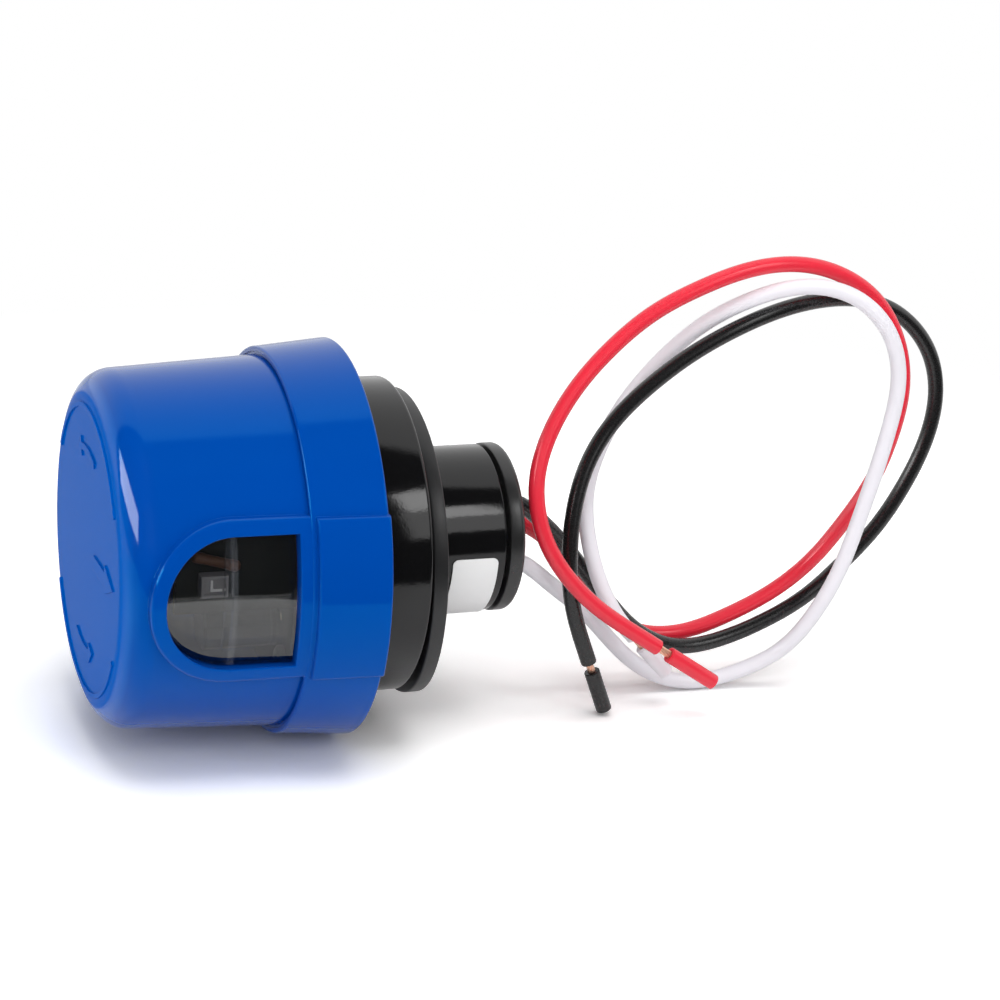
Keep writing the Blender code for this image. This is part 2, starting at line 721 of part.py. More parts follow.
def make_screw(name, seat, facing, length, centre, parent):
    """A pan-head screw on a seat at x, its head on the facing side and its shank the other way."""
    rise = facing * HEAD_HEIGHT
    crown = [(seat + rise, 0.0), (seat + rise, HEAD_R * CROWN_SHARE)]
    crown.append((seat + rise * RIM_SHARE, HEAD_R))
    shank = [(seat, HEAD_R), (seat, SHANK_R), (seat - facing * length, SHANK_R)]
    tip = [(seat - facing * (length + SHANK_R), 0.0)]
    screw = add(name, turned(crown + shank + tip, SMALL_STEPS, centre), parent, STEEL)
    floor = seat + rise - facing * RECESS_DEPTH
    above = seat + rise + facing * RECESS_DEPTH
    a, b = RECESS_REACH, RECESS_WIDTH / 2
    quarter = [(a, -b), (a, b), (b, b)]
    cross = [
        tuple(Matrix.Rotation(turn * math.pi / 2, 2) @ Vector(point) + Vector(centre))
        for turn in range(4)
        for point in quarter
    ]
    combine(screw, extruded(cross, min(floor, above), max(floor, above), "x"), "DIFFERENCE", "recess")


def make_screws():
    for number, centre in enumerate(ring_points(BASE_SCREW_R, BASE_SCREW_DEG), 1):
        make_screw(f"base_screw_{number}", BASE_FACE + GAP, 1, SHANK_LENGTH, centre, photocontrol)
    for number, centre in enumerate(ring_points(POST_AT_R, POST_DEG), 1):
        seat = BOARD_BACK - GAP
        make_screw(f"board_screw_{number}", seat, -1, SHORT_SHANK_LENGTH, centre, photocontrol)
    for number, centre in enumerate(ring_points(FACE_SCREW_R, FACE_SCREW_DEG), 1):
        make_screw(f"face_screw_{number}", HOUSING_AT - GAP, -1, FACE_SCREW_LENGTH, centre, receptacle)


def make_board():
    disc = [(BOARD_BACK, 0.0), (BOARD_BACK, BOARD_R), (BOARD_AT, BOARD_R), (BOARD_AT, 0.0)]
    board = add("circuit_board", turned(disc, RING_STEPS), photocontrol, BOARD_GREEN)
    low = BOARD_BACK - SINK
    high = BOARD_AT + SINK
    centres = ring_points(POST_AT_R, POST_DEG)
    holes = [rod(low, high, SHANK_R + GAP, centre, PILOT_STEPS) for centre in centres]
    combine(board, together(holes), "DIFFERENCE", "screw_holes")
    combine(board, tang_slots(low, high), "DIFFERENCE", "tang_slots")


def bevelled(made, width=PART_ROUND, segments=1):
    edge = made.modifiers.new("edges", "BEVEL")
    edge.width = width
    edge.segments = segments
    edge.limit_method = "ANGLE"


def make_components():
    """What stands on the circuit board, inside the dome."""
    reach = (PARTS_AT - RELAY_REACH, PARTS_AT)
    across = (RELAY_HIGH_Y - RELAY_WIDTH, RELAY_HIGH_Y)
    bevelled(add("relay", box(reach, across, RELAY_Z), photocontrol, RELAY_BLACK))
    reach = (PARTS_AT - FILM_REACH, PARTS_AT)
    bevelled(add("film_capacitor", box(reach, FILM_Y, FILM_Z), photocontrol, FILM_YELLOW))
    top = PARTS_AT - CAN_REACH
    can = rounded(
        [
            (top, 0.0, 0.0),
            (top, CAN_R, PART_ROUND),
            (PARTS_AT - 3 * PART_ROUND, CAN_R, 0.0),
            (PARTS_AT - 2 * PART_ROUND, CAN_R - PART_ROUND / 2, 0.0),
            (PARTS_AT - PART_ROUND, CAN_R, 0.0),
            (PARTS_AT, CAN_R, 0.0),
            (PARTS_AT, 0.0, 0.0),
        ]
    )
    add("electrolytic_capacitor", turned(can, SMALL_STEPS, CAN_YZ), photocontrol, CAN_SLEEVE)
    half = DISC_THICK / 2
    disc = rounded(
        [(-half, 0.0, 0.0), (-half, DISC_R, DISC_ROUND), (half, DISC_R, DISC_ROUND), (half, 0.0, 0.0)]
    )
    upright = Matrix.Rotation(math.pi / 2, 3, "Y")
    varistor = turned(disc, SMALL_STEPS)
    bmesh.ops.rotate(varistor, verts=varistor.verts, matrix=upright)
    place = (PARTS_AT - DISC_R, *DISC_YZ)
    bmesh.ops.translate(varistor, verts=varistor.verts, vec=place)
    add("varistor", varistor, photocontrol, DISC_BLUE)
    place = (PARTS_AT - RESISTOR_R, *RESISTOR_YZ)
    along_y = Matrix.Rotation(math.pi / 2, 3, "Z")
    shape = resistor(RESISTOR_R, RESISTOR_LENGTH, along_y, place)
    add("power_resistor", shape, photocontrol, RESISTOR_TAN)


def resistor(radius, length, turn, place):
    """A resistor's body: a barrel with slightly swollen ends, shaped in parts of its radius."""
    half = length / 2
    waist = radius * RESISTOR_WAIST
    fillet = radius * RESISTOR_ROUND
    bulge = half - radius * RESISTOR_BULGE
    neck = half - radius * RESISTOR_NECK
    outline = rounded(
        [
            (-half, 0.0, 0.0),
            (-half, radius, fillet),
            (-bulge, radius, 0.0),
            (-neck, waist, 0.0),
            (neck, waist, 0.0),
            (bulge, radius, 0.0),
            (half, radius, fillet),
            (half, 0.0, 0.0),
        ]
    )
    shape = turned(outline, SMALL_STEPS)
    bmesh.ops.rotate(shape, verts=shape.verts, matrix=turn)
    bmesh.ops.translate(shape, verts=shape.verts, vec=place)
    return shape


def make_sensor():
    """The small upright board behind the window, with the light sensor and a resistor on it."""
    back = SENSOR_BOARD_Y + SENSOR_BOARD_THICK
    reach = (PARTS_AT - SENSOR_BOARD_REACH, PARTS_AT)
    add("sensor_board", box(reach, (SENSOR_BOARD_Y, back), SENSOR_BOARD_Z), photocontrol, BOARD_GREEN)
    seat = SENSOR_BOARD_Y - GAP
    eye = add("light_sensor", box(SENSOR_X, (seat - SENSOR_DEPTH, seat), SENSOR_Z), photocontrol, CLEAR)
    bevelled(eye)
    x, z = SMALL_RESISTOR_XZ
    place = (x, seat - SMALL_RESISTOR_R, z)
    tilt = Matrix.Rotation(math.radians(SMALL_RESISTOR_TILT_DEG), 3, "Y")
    shape = resistor(SMALL_RESISTOR_R, SMALL_RESISTOR_LENGTH, tilt, place)
    add("sensor_resistor", shape, photocontrol, RESISTOR_TAN)


def make_housing():
    """The receptacle's body: a puck with a pocket for the contacts, and a hollow barrel."""
    bore = BARREL_R - BARREL_WALL
    recess = HOUSING_R - HOUSING_WALL
    pocket = BLADE_OUTER + GAP + LEAF_THICK + POCKET_MARGIN
    shelf = FACE_BACK + GAP
    section = rounded(
        [
            (HOUSING_AT, recess, 0.0),
            (HOUSING_AT, HOUSING_R, EDGE_ROUND),
            (SHOULDER_AT, HOUSING_R, SHOULDER_ROUND),
            (SHOULDER_AT, BARREL_R, 0.0),
            (BARREL_END, BARREL_R, EDGE_ROUND),
            (BARREL_END, bore, 0.0),
            (FLOOR_AT, bore, 0.0),
            (FLOOR_AT, pocket, 0.0),
            (shelf, pocket, 0.0),
            (shelf, recess, 0.0),
        ]
    )
    housing = add("receptacle_housing", turned(section), receptacle, BLACK)
    bottom = HOUSING_AT + FACE_SCREW_LENGTH + 2 * SHANK_R
    centres = ring_points(FACE_SCREW_R, FACE_SCREW_DEG)
    bore = SHANK_R + GAP
    pilots = [rod(shelf - SINK, bottom, bore, centre, PILOT_STEPS) for centre in centres]
    combine(housing, together(pilots), "DIFFERENCE", "pilots")


def make_face():
    """The receptacle's face, with a curved slot for each blade and room for it to turn."""
    radius = HOUSING_R - HOUSING_WALL - GAP
    disc = [(HOUSING_AT, 0.0), (HOUSING_AT, radius), (FACE_BACK, radius), (FACE_BACK, 0.0)]
    face = add("receptacle_face", turned(disc, RING_STEPS), receptacle, BLACK)
    low = HOUSING_AT - SINK
    high = FACE_BACK + SINK
    slots = [
        sector(
            BLADE_INNER - SLOT_MARGIN,
            BLADE_OUTER + SLOT_MARGIN,
            at - half - SLOT_MARGIN_DEG,
            at + half + TWIST_DEG + SLOT_MARGIN_DEG,
            low,
            high,
        )
        for name, at, half in POLES
    ]
    combine(face, together(slots), "DIFFERENCE", "slots")
    centres = ring_points(FACE_SCREW_R, FACE_SCREW_DEG)
    holes = [rod(low, high, SHANK_R + GAP, centre, PILOT_STEPS) for centre in centres]
    combine(face, together(holes), "DIFFERENCE", "screw_holes")


def make_contact(name, at):
    """A spring contact: two leaves, a bridge under the blade, a strap and a crimp on the lead."""
    leaf_end = FACE_BACK + GAP
    bridge = FLOOR_AT - GAP - BRIDGE_THICK
    inner = BLADE_INNER - GAP
    outer = BLADE_OUTER + GAP
    strap_out = STRAP_R + BRIDGE_THICK
    tab_in = LEAD_AT_R - CRIMP_R / 2
    section = [
        (leaf_end, outer),
        (leaf_end, outer + LEAF_THICK),
        (bridge + BRIDGE_THICK, outer + LEAF_THICK),
        (bridge + BRIDGE_THICK, strap_out),
        (STRAP_END, strap_out),
        (STRAP_END, tab_in),
        (STRAP_END - BRIDGE_THICK, tab_in),
        (STRAP_END - BRIDGE_THICK, STRAP_R),
        (bridge, STRAP_R),
        (bridge, inner - LEAF_THICK),
        (leaf_end, inner - LEAF_THICK),
        (leaf_end, inner),
        (bridge, inner),
        (bridge, outer),
    ]
    strip = swept(section, at - LEAF_HALF_DEG, at + LEAF_HALF_DEG)
    contact = add(f"contact_{name}", strip, receptacle, BRASS)
    centre = ring_points(LEAD_AT_R, [at])[0]
    low = STRAP_END - BRIDGE_THICK / 2
    floor = STRAP_END + CRIMP_FLOOR - BRIDGE_THICK / 2
    bore = LEAD_R + GAP
    crimp = [(low, 0.0), (low, CRIMP_R), (STRAP_END + CRIMP_REACH, CRIMP_R)]
    crimp += [(STRAP_END + CRIMP_REACH, bore), (floor, bore), (floor, 0.0)]
    combine(contact, turned(crimp, SMALL_STEPS, centre), "UNION", "crimp")


def make_end():
    """The mounting gasket, the cap on the barrel's end and the label round the barrel."""
    low = SHOULDER_AT + GAP
    high = low + WASHER_THICK
    inner = BARREL_R + GAP
    ring = rounded(
        [
            (low, inner, 0.0),
            (low, WASHER_OUTER_R, WASHER_ROUND),
            (high, WASHER_OUTER_R, WASHER_ROUND),
            (high, inner, 0.0),
        ]
    )
    add("mounting_gasket", turned(ring, RING_STEPS), receptacle, RUBBER)
    spigot = BARREL_R - BARREL_WALL - GAP
    back = END_AT + END_THICK
    section = rounded(
        [
            (back, 0.0, 0.0),
            (back, END_R, END_ROUND),
            (END_AT, END_R, 0.0),
            (END_AT, spigot, 0.0),
            (END_AT - SPIGOT_LENGTH, spigot, 0.0),
            (END_AT - SPIGOT_LENGTH, spigot - END_WALL, 0.0),
            (back - END_WALL, spigot - END_WALL, 0.0),
            (back - END_WALL, 0.0, 0.0),
        ]
    )
    end = add("end_cap", turned(section, RING_STEPS), receptacle, DARK)
    centres = [ring_points(LEAD_AT_R, [lead["angle"]])[0] for lead in LEADS.values()]
    collars = [rod(back - SINK, COLLAR_END, COLLAR_R, centre) for centre in centres]
    combine(end, together(collars), "UNION", "collars")
    holes = [
        rod(back - END_WALL - SINK, COLLAR_END + SINK, LEAD_R + GAP, centre) for centre in centres
    ]
    combine(end, together(holes), "DIFFERENCE", "lead_holes")
    add("label", label_shape(), receptacle, LABEL_WHITE)


def label_shape():
    """A thin sheet with round corners, wrapped on the barrel."""
    inner = BARREL_R + LABEL_LIFT
    outer = inner + LABEL_THICK
    first, last = LABEL_DEG
    arc = math.radians(last - first) * inner
    ends = [LABEL_CORNER * (1 - math.cos(math.radians(turn))) for turn in (0, 30, 60, 90)]
    steps = int(arc / (math.radians(ARC_STEP_DEG) * inner))
    middle = [LABEL_CORNER + (arc - 2 * LABEL_CORNER) * step / steps for step in range(1, steps)]
    sections = []
    for along in ends + middle + [arc - end for end in reversed(ends)]:
        short = max(0.0, LABEL_CORNER - along, LABEL_CORNER - (arc - along))
        inset = LABEL_CORNER - math.sqrt(LABEL_CORNER**2 - short**2)
        low = LABEL_AT + inset
        high = LABEL_AT + LABEL_WIDTH - inset
        turn = first + math.degrees(along / inner)
        corners = [(low, inner), (low, outer), (high, outer), (high, inner)]
        sections.append([placed(x, r, turn) for x, r in corners])
    return lofted(sections)


def smooth_curve(points, direction, step):
    """Points a step apart on the cubic spline through these, leaving the first in a direction."""
    through = np.array(points)
    spans = np.linalg.norm(np.diff(through, axis=0), axis=1)
    slopes = np.diff(through, axis=0) / spans[:, None]
    count = len(through)
    system = np.zeros((count, count))
    target = np.zeros((count, 3))
    system[0, 0] = 1.0
    target[0] = direction
    for i in range(1, count - 1):
        before, after = spans[i - 1], spans[i]
        system[i, i - 1 : i + 2] = after, 2 * (before + after), before
        target[i] = 3 * (after * slopes[i - 1] + before * slopes[i])
    system[-1, -2:] = 1.0, 2.0
    target[-1] = 3 * slopes[-1]
    tangents = np.linalg.solve(system, target)
    ends = np.concatenate([[0.0], np.cumsum(spans)])
    curve = []
    for at in np.linspace(0.0, ends[-1], max(2, round(ends[-1] / step) + 1)):
        i = min(int(np.searchsorted(ends, at, side="right")) - 1, count - 2)
        t = (at - ends[i]) / spans[i]
        curve.append(
            (1 + 2 * t) * (1 - t) ** 2 * through[i]
            + t * t * (3 - 2 * t) * through[i + 1]
            + t * (1 - t) ** 2 * spans[i] * tangents[i]
            - t * t * (1 - t) * spans[i] * tangents[i + 1]
        )
    return [Vector(point) for point in curve]


def tube(name, points, radius, finish):
    """A round bar along these points, as a bevelled curve with closed ends."""
    curve = bpy.data.curves.new(name, "CURVE")
    curve.dimensions = "3D"
    curve.bevel_depth = radius
    curve.bevel_resolution = LEAD_SIDES // 2 - 2
    curve.use_fill_caps = True
    spline = curve.splines.new("POLY")
    spline.points.add(len(points) - 1)
    for target, point in zip(spline.points, points):
        target.co = (*point, 1.0)
        target.radius = 1.0
    curve.materials.append(finish)
    made = bpy.data.objects.new(name, curve)
    bpy.context.scene.collection.objects.link(made)
    made.parent = receptacle
    return made


def sleeve(name, points, finish):
    """Insulation along these points: a tube whose bore clears the strands, open at both ends."""
    made = tube(name, points, LEAD_R, finish)
    made.data.use_fill_caps = False
    wall = made.modifiers.new("wall", "SOLIDIFY")
    wall.thickness = LEAD_R * math.cos(math.pi / LEAD_SIDES) - STRANDS_R - GAP
    wall.offset = -1.0
    return made


def make_lead(colour, lead):
    """A lead: insulation from crimp to bared end, strands inside it, and the slug on their tip."""
    y, z = ring_points(LEAD_AT_R, [lead["angle"]])[0]
    inside = Vector((STRAP_END + CRIMP_FLOOR, y, z))
    leaving = Vector((COLLAR_END, y, z))
    free = smooth_curve([leaving] + list(lead["route"]), (1.0, 0.0, 0.0), LEAD_STEP)
    covered = [inside, inside.lerp(leaving, 0.5)] + free
    end = free[-1]
    direction = (Vector(lead["route"][-1]) - Vector(lead["route"][-2])).normalized()
    start = end + direction * lead["bared"]
    tip = start + direction * lead["slug"]
    sleeve(f"lead_{colour}", covered, INSULATION[colour])
    sleeve(f"slug_{colour}", [start, start.lerp(tip, 0.5), tip], INSULATION[colour])
    strands_end = start + direction * lead["slug"] * STRANDS_IN_SLUG
    tube(f"strands_{colour}", covered + [start, strands_end], STRANDS_R, COPPER)


make_cap()
make_lens()
make_base_plate()
make_gasket()
for pole, turn, half_width in POLES:
    make_blade(pole, turn, half_width)
    make_contact(pole, turn)
make_screws()
make_board()
make_components()
make_sensor()
make_housing()
make_face()
make_end()
for insulation, facts in LEADS.items():
    make_lead(insulation, facts)
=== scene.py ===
"""Looks of the photocell switch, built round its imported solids. Metres, +Z up.

The pieces that show are rebuilt here with fine steps and rounded edges at the sizes of the
solids they stand for. As in those, x in the axis frame runs along the common axis from the
open rim of the cap's skirt, and an angle about it is in degrees from -Y towards +Z.
"""

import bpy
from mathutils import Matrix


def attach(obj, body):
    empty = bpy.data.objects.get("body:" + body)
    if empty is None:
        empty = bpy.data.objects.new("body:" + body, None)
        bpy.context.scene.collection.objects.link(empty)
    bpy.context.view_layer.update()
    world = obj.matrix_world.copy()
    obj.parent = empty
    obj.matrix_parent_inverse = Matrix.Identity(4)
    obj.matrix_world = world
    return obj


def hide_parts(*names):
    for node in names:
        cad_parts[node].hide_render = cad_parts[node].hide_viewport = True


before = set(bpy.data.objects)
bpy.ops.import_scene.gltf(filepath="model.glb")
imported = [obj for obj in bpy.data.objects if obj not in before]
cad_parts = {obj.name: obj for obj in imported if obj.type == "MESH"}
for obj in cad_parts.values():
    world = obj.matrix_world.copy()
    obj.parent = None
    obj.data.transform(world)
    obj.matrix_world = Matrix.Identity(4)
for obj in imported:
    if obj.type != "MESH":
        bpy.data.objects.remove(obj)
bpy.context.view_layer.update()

import math

import bmesh
import bpy
import numpy as np
from mathutils import Matrix, Vector

for name in ("Cube", "Light", "Camera"):
    if name in bpy.data.objects:
        bpy.data.objects.remove(bpy.data.objects[name])

AXIS = Vector((0.007175, 0.0005093, 0.0418939))
GAP = 0.0003
SINK = 0.0004

# Camera, placed in the axis frame
CAMERA_AT = Vector((-0.1680, -0.5497, 0.1925))
CAMERA_RIGHT = Vector((0.9412, -0.3334, 0.0544))
CAMERA_FORWARD = Vector((0.3337, 0.8926, -0.3032))
LENS_MM = 102.96
FILM_MM = 36.0

# Fineness
TURN_STEPS = 240
RING_STEPS = 180
SMALL_STEPS = 40
ARC_STEP = 0.00018
MARK_STEP_DEG = 2.0

# Rounding that several pieces share
EDGE_ROUND = 0.0005
FINE_ROUND = 0.0003

# Cap
CAP_LENGTH = 0.0524
SKIRT_LENGTH = 0.0157
SKIRT_RIM_R = 0.0420
SKIRT_DRAFT = 0.0892
DOME_STEP = 0.0017
DOME_DRAFT = 0.0518
DOME_FILLET = 0.0068
CAP_WALL = 0.0020
STEP_WALL = 0.0017
GROOVE_WIDTH = 0.0006
GROOVE_DEPTH = 0.0005
GROOVE_ROUND = 0.00015
WINDOW_CENTRE = -0.0310
WINDOW_R = 0.0138
WINDOW_SIDE = -0.0180
FRAME_BORDER = 0.0032
FRAME_RISE = 0.0015
FRAME_DRAFT = 0.0240
FRAME_ROUND = 0.0007
FRAME_INNER_ROUND = 0.0003
FRAME_LAP = 0.0001
FRAME_ROOT = CAP_WALL * 0.9
BOSS_RISE = 0.0010
BOSS_DRAFT = 0.0550
BOSS_LIP = 0.0002
BOSS_ROOT = CAP_WALL * 0.6
LENS_RECESS = 0.0002
LENS_FLANGE = 0.0018
LENS_WALL = 0.0014
LENS_RIB_AT = -0.0309
LENS_RIB_WIDTH = 0.0016
LENS_RIB_DEPTH = 0.0016
LENS_RIB_HALF = 0.0120

# Marks raised on the domed end
RELIEF = 0.00035
RING_R = 0.0301
RING_WIDTH = 0.0010
RING_SPANS_DEG = ((-150.0, -30.0), (30.0, 150.0))
TURN_ARROW_R = 0.0215
TURN_ARROW_WIDTH = 0.0014
TURN_ARROW_SPANS_DEG = ((70.0, 112.0), (-112.0, -70.0))
TURN_ARROW_HEAD_DEG = 9.0
POINTER_TIP_R = 0.0262
POINTER_HEAD = 0.0075
POINTER_TAIL_R = 0.0080
POINTER_WIDTH = 0.0030

# Base plate, gasket and screws
BASE_AT = -0.0070
BASE_THICK = 0.0030
BASE_ROUND = 0.0004
BASE_SCREW_R = 0.0346
BASE_SCREW_DEG = (60.0, 180.0, -60.0)
GASKET_INNER_R = 0.0260
GASKET_OUTER_R = 0.0310
HEAD_R = 0.0025
HEAD_HEIGHT = 0.0017
HEAD_FLAT = 0.86
HEAD_CROWN = 0.55
SHANK_R = 0.0011
SHANK_LENGTH = 0.0100
RECESS_REACH = 0.0014
RECESS_WIDTH = 0.0005
RECESS_DEPTH = 0.0008
RECESS_TAPER = (0.55, 1.2)

# Light sensor behind the window, and the margins of its metal frame, painted near-white for its glint
SENSOR_BOARD_Y = -0.0281
SENSOR_X = (-0.0360, -0.0304)
SENSOR_Z = (-0.0008, 0.0038)
SENSOR_DEPTH = 0.0029
SENSOR_RIM = 0.0007
SENSOR_EDGE = 0.00015
BRIGHT_BAR = 0.0005
BRIGHT_X = (0.0020, 0.0012)
BRIGHT_Z = (0.0012, 0.0010)
BRIGHT_RISE = (0.0003, 0.00025)

# Receptacle
HOUSING_AT = -0.0010
HOUSING_R = 0.0334
HOUSING_LENGTH = 0.0128
HOUSING_WALL = 0.0028
SHOULDER_THICK = 0.0026
SHOULDER_ROUND = 0.0009
BARREL_R = 0.0179
BARREL_LENGTH = 0.0213
BARREL_WALL = 0.0020
FACE_THICK = 0.0030
POCKET_R = 0.01915
WASHER_OUTER_R = 0.0326
WASHER_THICK = 0.0032
WASHER_ROUND = 0.0004
WASHER_INNER_ROUND = 0.0002
WASHER_SLACK = 0.0020
WASHER_DROP = 0.0018
WASHER_BOW = 0.0015
WASHER_BOW_AT_DEG = -78.0
WASHER_BOW_SPREAD_DEG = 46.0
END_GROOVE = 0.0008
END_R = 0.0181
END_THICK = 0.0035
END_WALL = 0.0022
END_ROUND = 0.0012
SPIGOT_LENGTH = 0.0034
COLLAR_R = 0.0032
COLLAR_HEIGHT = 0.0010
COLLAR_ROUND = 0.0004
COLLAR_FOOT_WIDTH = 0.0004
COLLAR_FOOT_HEIGHT = 0.0003
LABEL_AT = 0.0212
LABEL_WIDTH = 0.0100
LABEL_DEG = (-93.0, -2.7)
LABEL_LIFT = 0.0001
LABEL_THICK = 0.00025
LABEL_CORNER = 0.0012

# Leads. Their routes are given in the axis frame.
LEAD_R = 0.00175
LEAD_AT_R = 0.0076
LEAD_INSIDE = 0.0217
LEAD_STEP = 0.0012
STRAND_R = 0.00022
STRANDS = 9
STRAND_RING_R = 0.00064
STRAND_TURNS_PER_M = 55.0
STRAND_COVER = 0.0012
CORE_R = STRAND_R * 1.9
SLUG_ROUND = 0.00022
SLUG_BORE_R = 0.00092
SLUG_HOLE_R = 0.00048
SLUG_NECK = (0.72, 0.70)
LEADS = {
    "red": {
        "angle": 180.0,
        "bared": 0.0034,
        "slug": 0.0133,
        "route": (
            (0.0420, 0.0076, -0.0006), (0.0455, 0.0076, -0.0022), (0.0505, 0.0075, -0.0054),
            (0.0580, 0.0075, -0.0135), (0.0650, 0.0070, -0.0225), (0.0740, 0.0065, -0.0290),
            (0.0855, 0.0060, -0.0300), (0.0965, 0.0055, -0.0265), (0.1065, 0.0050, -0.0215),
            (0.1150, 0.0035, -0.0140), (0.1210, 0.0010, -0.0045), (0.1260, -0.0010, 0.0055),
            (0.1300, -0.0010, 0.0165), (0.1315, -0.0010, 0.0275), (0.1290, -0.0010, 0.0385),
            (0.1225, -0.0010, 0.0480), (0.1130, -0.0010, 0.0540), (0.1015, -0.0015, 0.0565),
            (0.0905, -0.0020, 0.0555), (0.0795, -0.0025, 0.0520), (0.0690, -0.0030, 0.0470),
            (0.0600, -0.0040, 0.0405), (0.0515, -0.0060, 0.0325), (0.0450, -0.0085, 0.0235),
            (0.0413, -0.0115, 0.0135), (0.0425, -0.0140, 0.0025), (0.0480, -0.0150, -0.0070),
            (0.0560, -0.0155, -0.0150), (0.0650, -0.0160, -0.0213), (0.0700, -0.0160, -0.0246),
        ),
    },
    "white": {
        "angle": -60.0,
        "bared": 0.0032,
        "slug": 0.0088,
        "route": (
            (0.0415, -0.0037, -0.0073), (0.0450, -0.0035, -0.0096), (0.0500, -0.0030, -0.0138),
            (0.0580, -0.0010, -0.0205), (0.0660, 0.0000, -0.0290), (0.0745, 0.0005, -0.0363),
            (0.0855, 0.0005, -0.0400), (0.0965, -0.0005, -0.0382), (0.1060, -0.0035, -0.0323),
            (0.1120, -0.0065, -0.0230), (0.1165, -0.0080, -0.0125), (0.1200, -0.0080, -0.0015),
            (0.1230, -0.0080, 0.0095), (0.1255, -0.0080, 0.0205), (0.1265, -0.0080, 0.0320),
            (0.1225, -0.0080, 0.0430), (0.1140, -0.0065, 0.0503), (0.1030, -0.0040, 0.0520),
            (0.0925, -0.0010, 0.0487), (0.0830, 0.0015, 0.0430), (0.0740, 0.0025, 0.0350),
            (0.0670, 0.0035, 0.0260), (0.0618, 0.0040, 0.0160), (0.0585, 0.0025, 0.0050),
            (0.0585, -0.0015, -0.0055), (0.0615, -0.0052, -0.0160), (0.0655, -0.0070, -0.0225),
            (0.0680, -0.0072, -0.0252),
        ),
    },
    "black": {
        "angle": 60.0,
        "bared": 0.0024,
        "slug": 0.0102,
        "route": (
            (0.0412, -0.0037, 0.0056), (0.0445, -0.0030, 0.0030), (0.0490, -0.0017, -0.0012),
            (0.0565, 0.0005, -0.0095), (0.0640, 0.0015, -0.0185), (0.0715, 0.0015, -0.0265),
            (0.0815, 0.0015, -0.0315), (0.0930, 0.0020, -0.0310), (0.1040, 0.0025, -0.0275),
            (0.1145, 0.0035, -0.0225), (0.1235, 0.0050, -0.0160), (0.1315, 0.0055, -0.0080),
            (0.1380, 0.0060, 0.0015), (0.1425, 0.0060, 0.0120), (0.1440, 0.0060, 0.0235),
            (0.1405, 0.0060, 0.0345), (0.1325, 0.0060, 0.0425), (0.1220, 0.0045, 0.0465),
            (0.1110, 0.0020, 0.0473), (0.1000, -0.0005, 0.0460), (0.0890, -0.0020, 0.0425),
            (0.0790, -0.0025, 0.0375), (0.0695, -0.0030, 0.0310), (0.0610, -0.0035, 0.0230),
            (0.0545, -0.0060, 0.0140), (0.0510, -0.0090, 0.0035), (0.0503, -0.0110, -0.0075),
            (0.0515, -0.0110, -0.0155), (0.0537, -0.0110, -0.0225), (0.0563, -0.0106, -0.0290),
        ),
    },
}

# Uneven finishes: share that gloss varies by, specks of dust, heights of grain and waves
GLOSS_SPREAD = 0.07
GLOSS_FINER = 9.0
DUST_SCALE = 420.0
DUST_SIZE = (0.05, 0.09)
GRAIN_HEIGHT = 0.00003
WAVE_HEIGHT = 0.0001

# Domed end: a whiter reflection tint on its round edge between two heights from the axis, a painted
# highlight, and a matt face painted a lighter blue for the light it catches.
# Each fade runs from one depth under the face to another.
SHINE_Z = (0.0105, 0.0270)
SHINE_SOFT = 0.002
SHINE_FADE = (DOME_FILLET + 0.0006, DOME_FILLET - 0.0012)
# Painted highlight: reflections on the round edge are tinted whiter than elsewhere on the cap.
PAINTED_HIGHLIGHT_TINT = (0.85, 0.92, 1.0, 1.0)
MATT_FADE = (0.0011, 0.0003)
MATT_SPECULAR = 0.004
# Painted light: the domed end's face is coloured a lighter blue for the light it catches.
FACE_PAINTED_LIGHT_FADE = (0.0022, 0.0003)
FACE_PAINTED_LIGHT_BLUE = (0.0002, 0.115, 0.540, 1.0)

# Window pane: colour of its rib, and how clear it is below and above a height from the axis
RIB_GREY = (0.034, 0.037, 0.042, 1.0)
CLEAR_Z = (-0.004, -0.001)
CLEAR = (0.48, 0.70)

# Studio: its light on matt faces, and the plane past which reflections of it are dark
STUDIO_AMBIENT = 0.36
STUDIO_DARK = 0.02
STUDIO_PLANE = (0.6, 1.0, -0.055)
STUDIO_SOFT = (-0.06, 0.02)

# Sheet under the part. Reflections see it end at a slanting front edge. The camera sees it
# lighter than it is lit, shaded in its contact shadows and darker still by painted contact shade
# near the part, and plain white beyond a distance.
FLOOR_HALF = 4.0
FLOOR_WHITE = (0.93, 0.93, 0.935, 1.0)
FLOOR_EDGE_Y = -0.165
FLOOR_EDGE_SLOPE = 0.30
FLOOR_EDGE_SOFT = 0.003
FLOOR_GAIN = 1.46
FLOOR_PAINTED_SHADE_REACH = 0.013
FLOOR_PAINTED_SHADE_SHARE = 0.60
FLOOR_OPEN = (0.30, 0.95)
FLOOR_MIDDLE = (0.045, 0.02)
FLOOR_FADE = (0.17, 0.34)

WHITE = (1.0, 1.0, 1.0, 1.0)

SHOULDER_AT = HOUSING_AT + HOUSING_LENGTH
BARREL_END = SHOULDER_AT + BARREL_LENGTH
END_AT = BARREL_END + END_GROOVE
END_BACK = END_AT + END_THICK
COLLAR_END = END_BACK + COLLAR_HEIGHT
BASE_FACE = BASE_AT + BASE_THICK


# Materials


def feed(tree, socket, value):
    """Sets a socket to a value, or links it to another socket."""
    if isinstance(value, bpy.types.NodeSocket):
        tree.links.new(value, socket)
    else:
        socket.default_value = value


def wired(tree, kind, inputs=None, **settings):
    """A new node with its settings, and its inputs set to a value or linked to a socket."""
    node = tree.nodes.new(kind)
    for key, value in settings.items():
        setattr(node, key, value)
    for key, value in (inputs or {}).items():
        feed(tree, node.inputs[key], value)
    return node


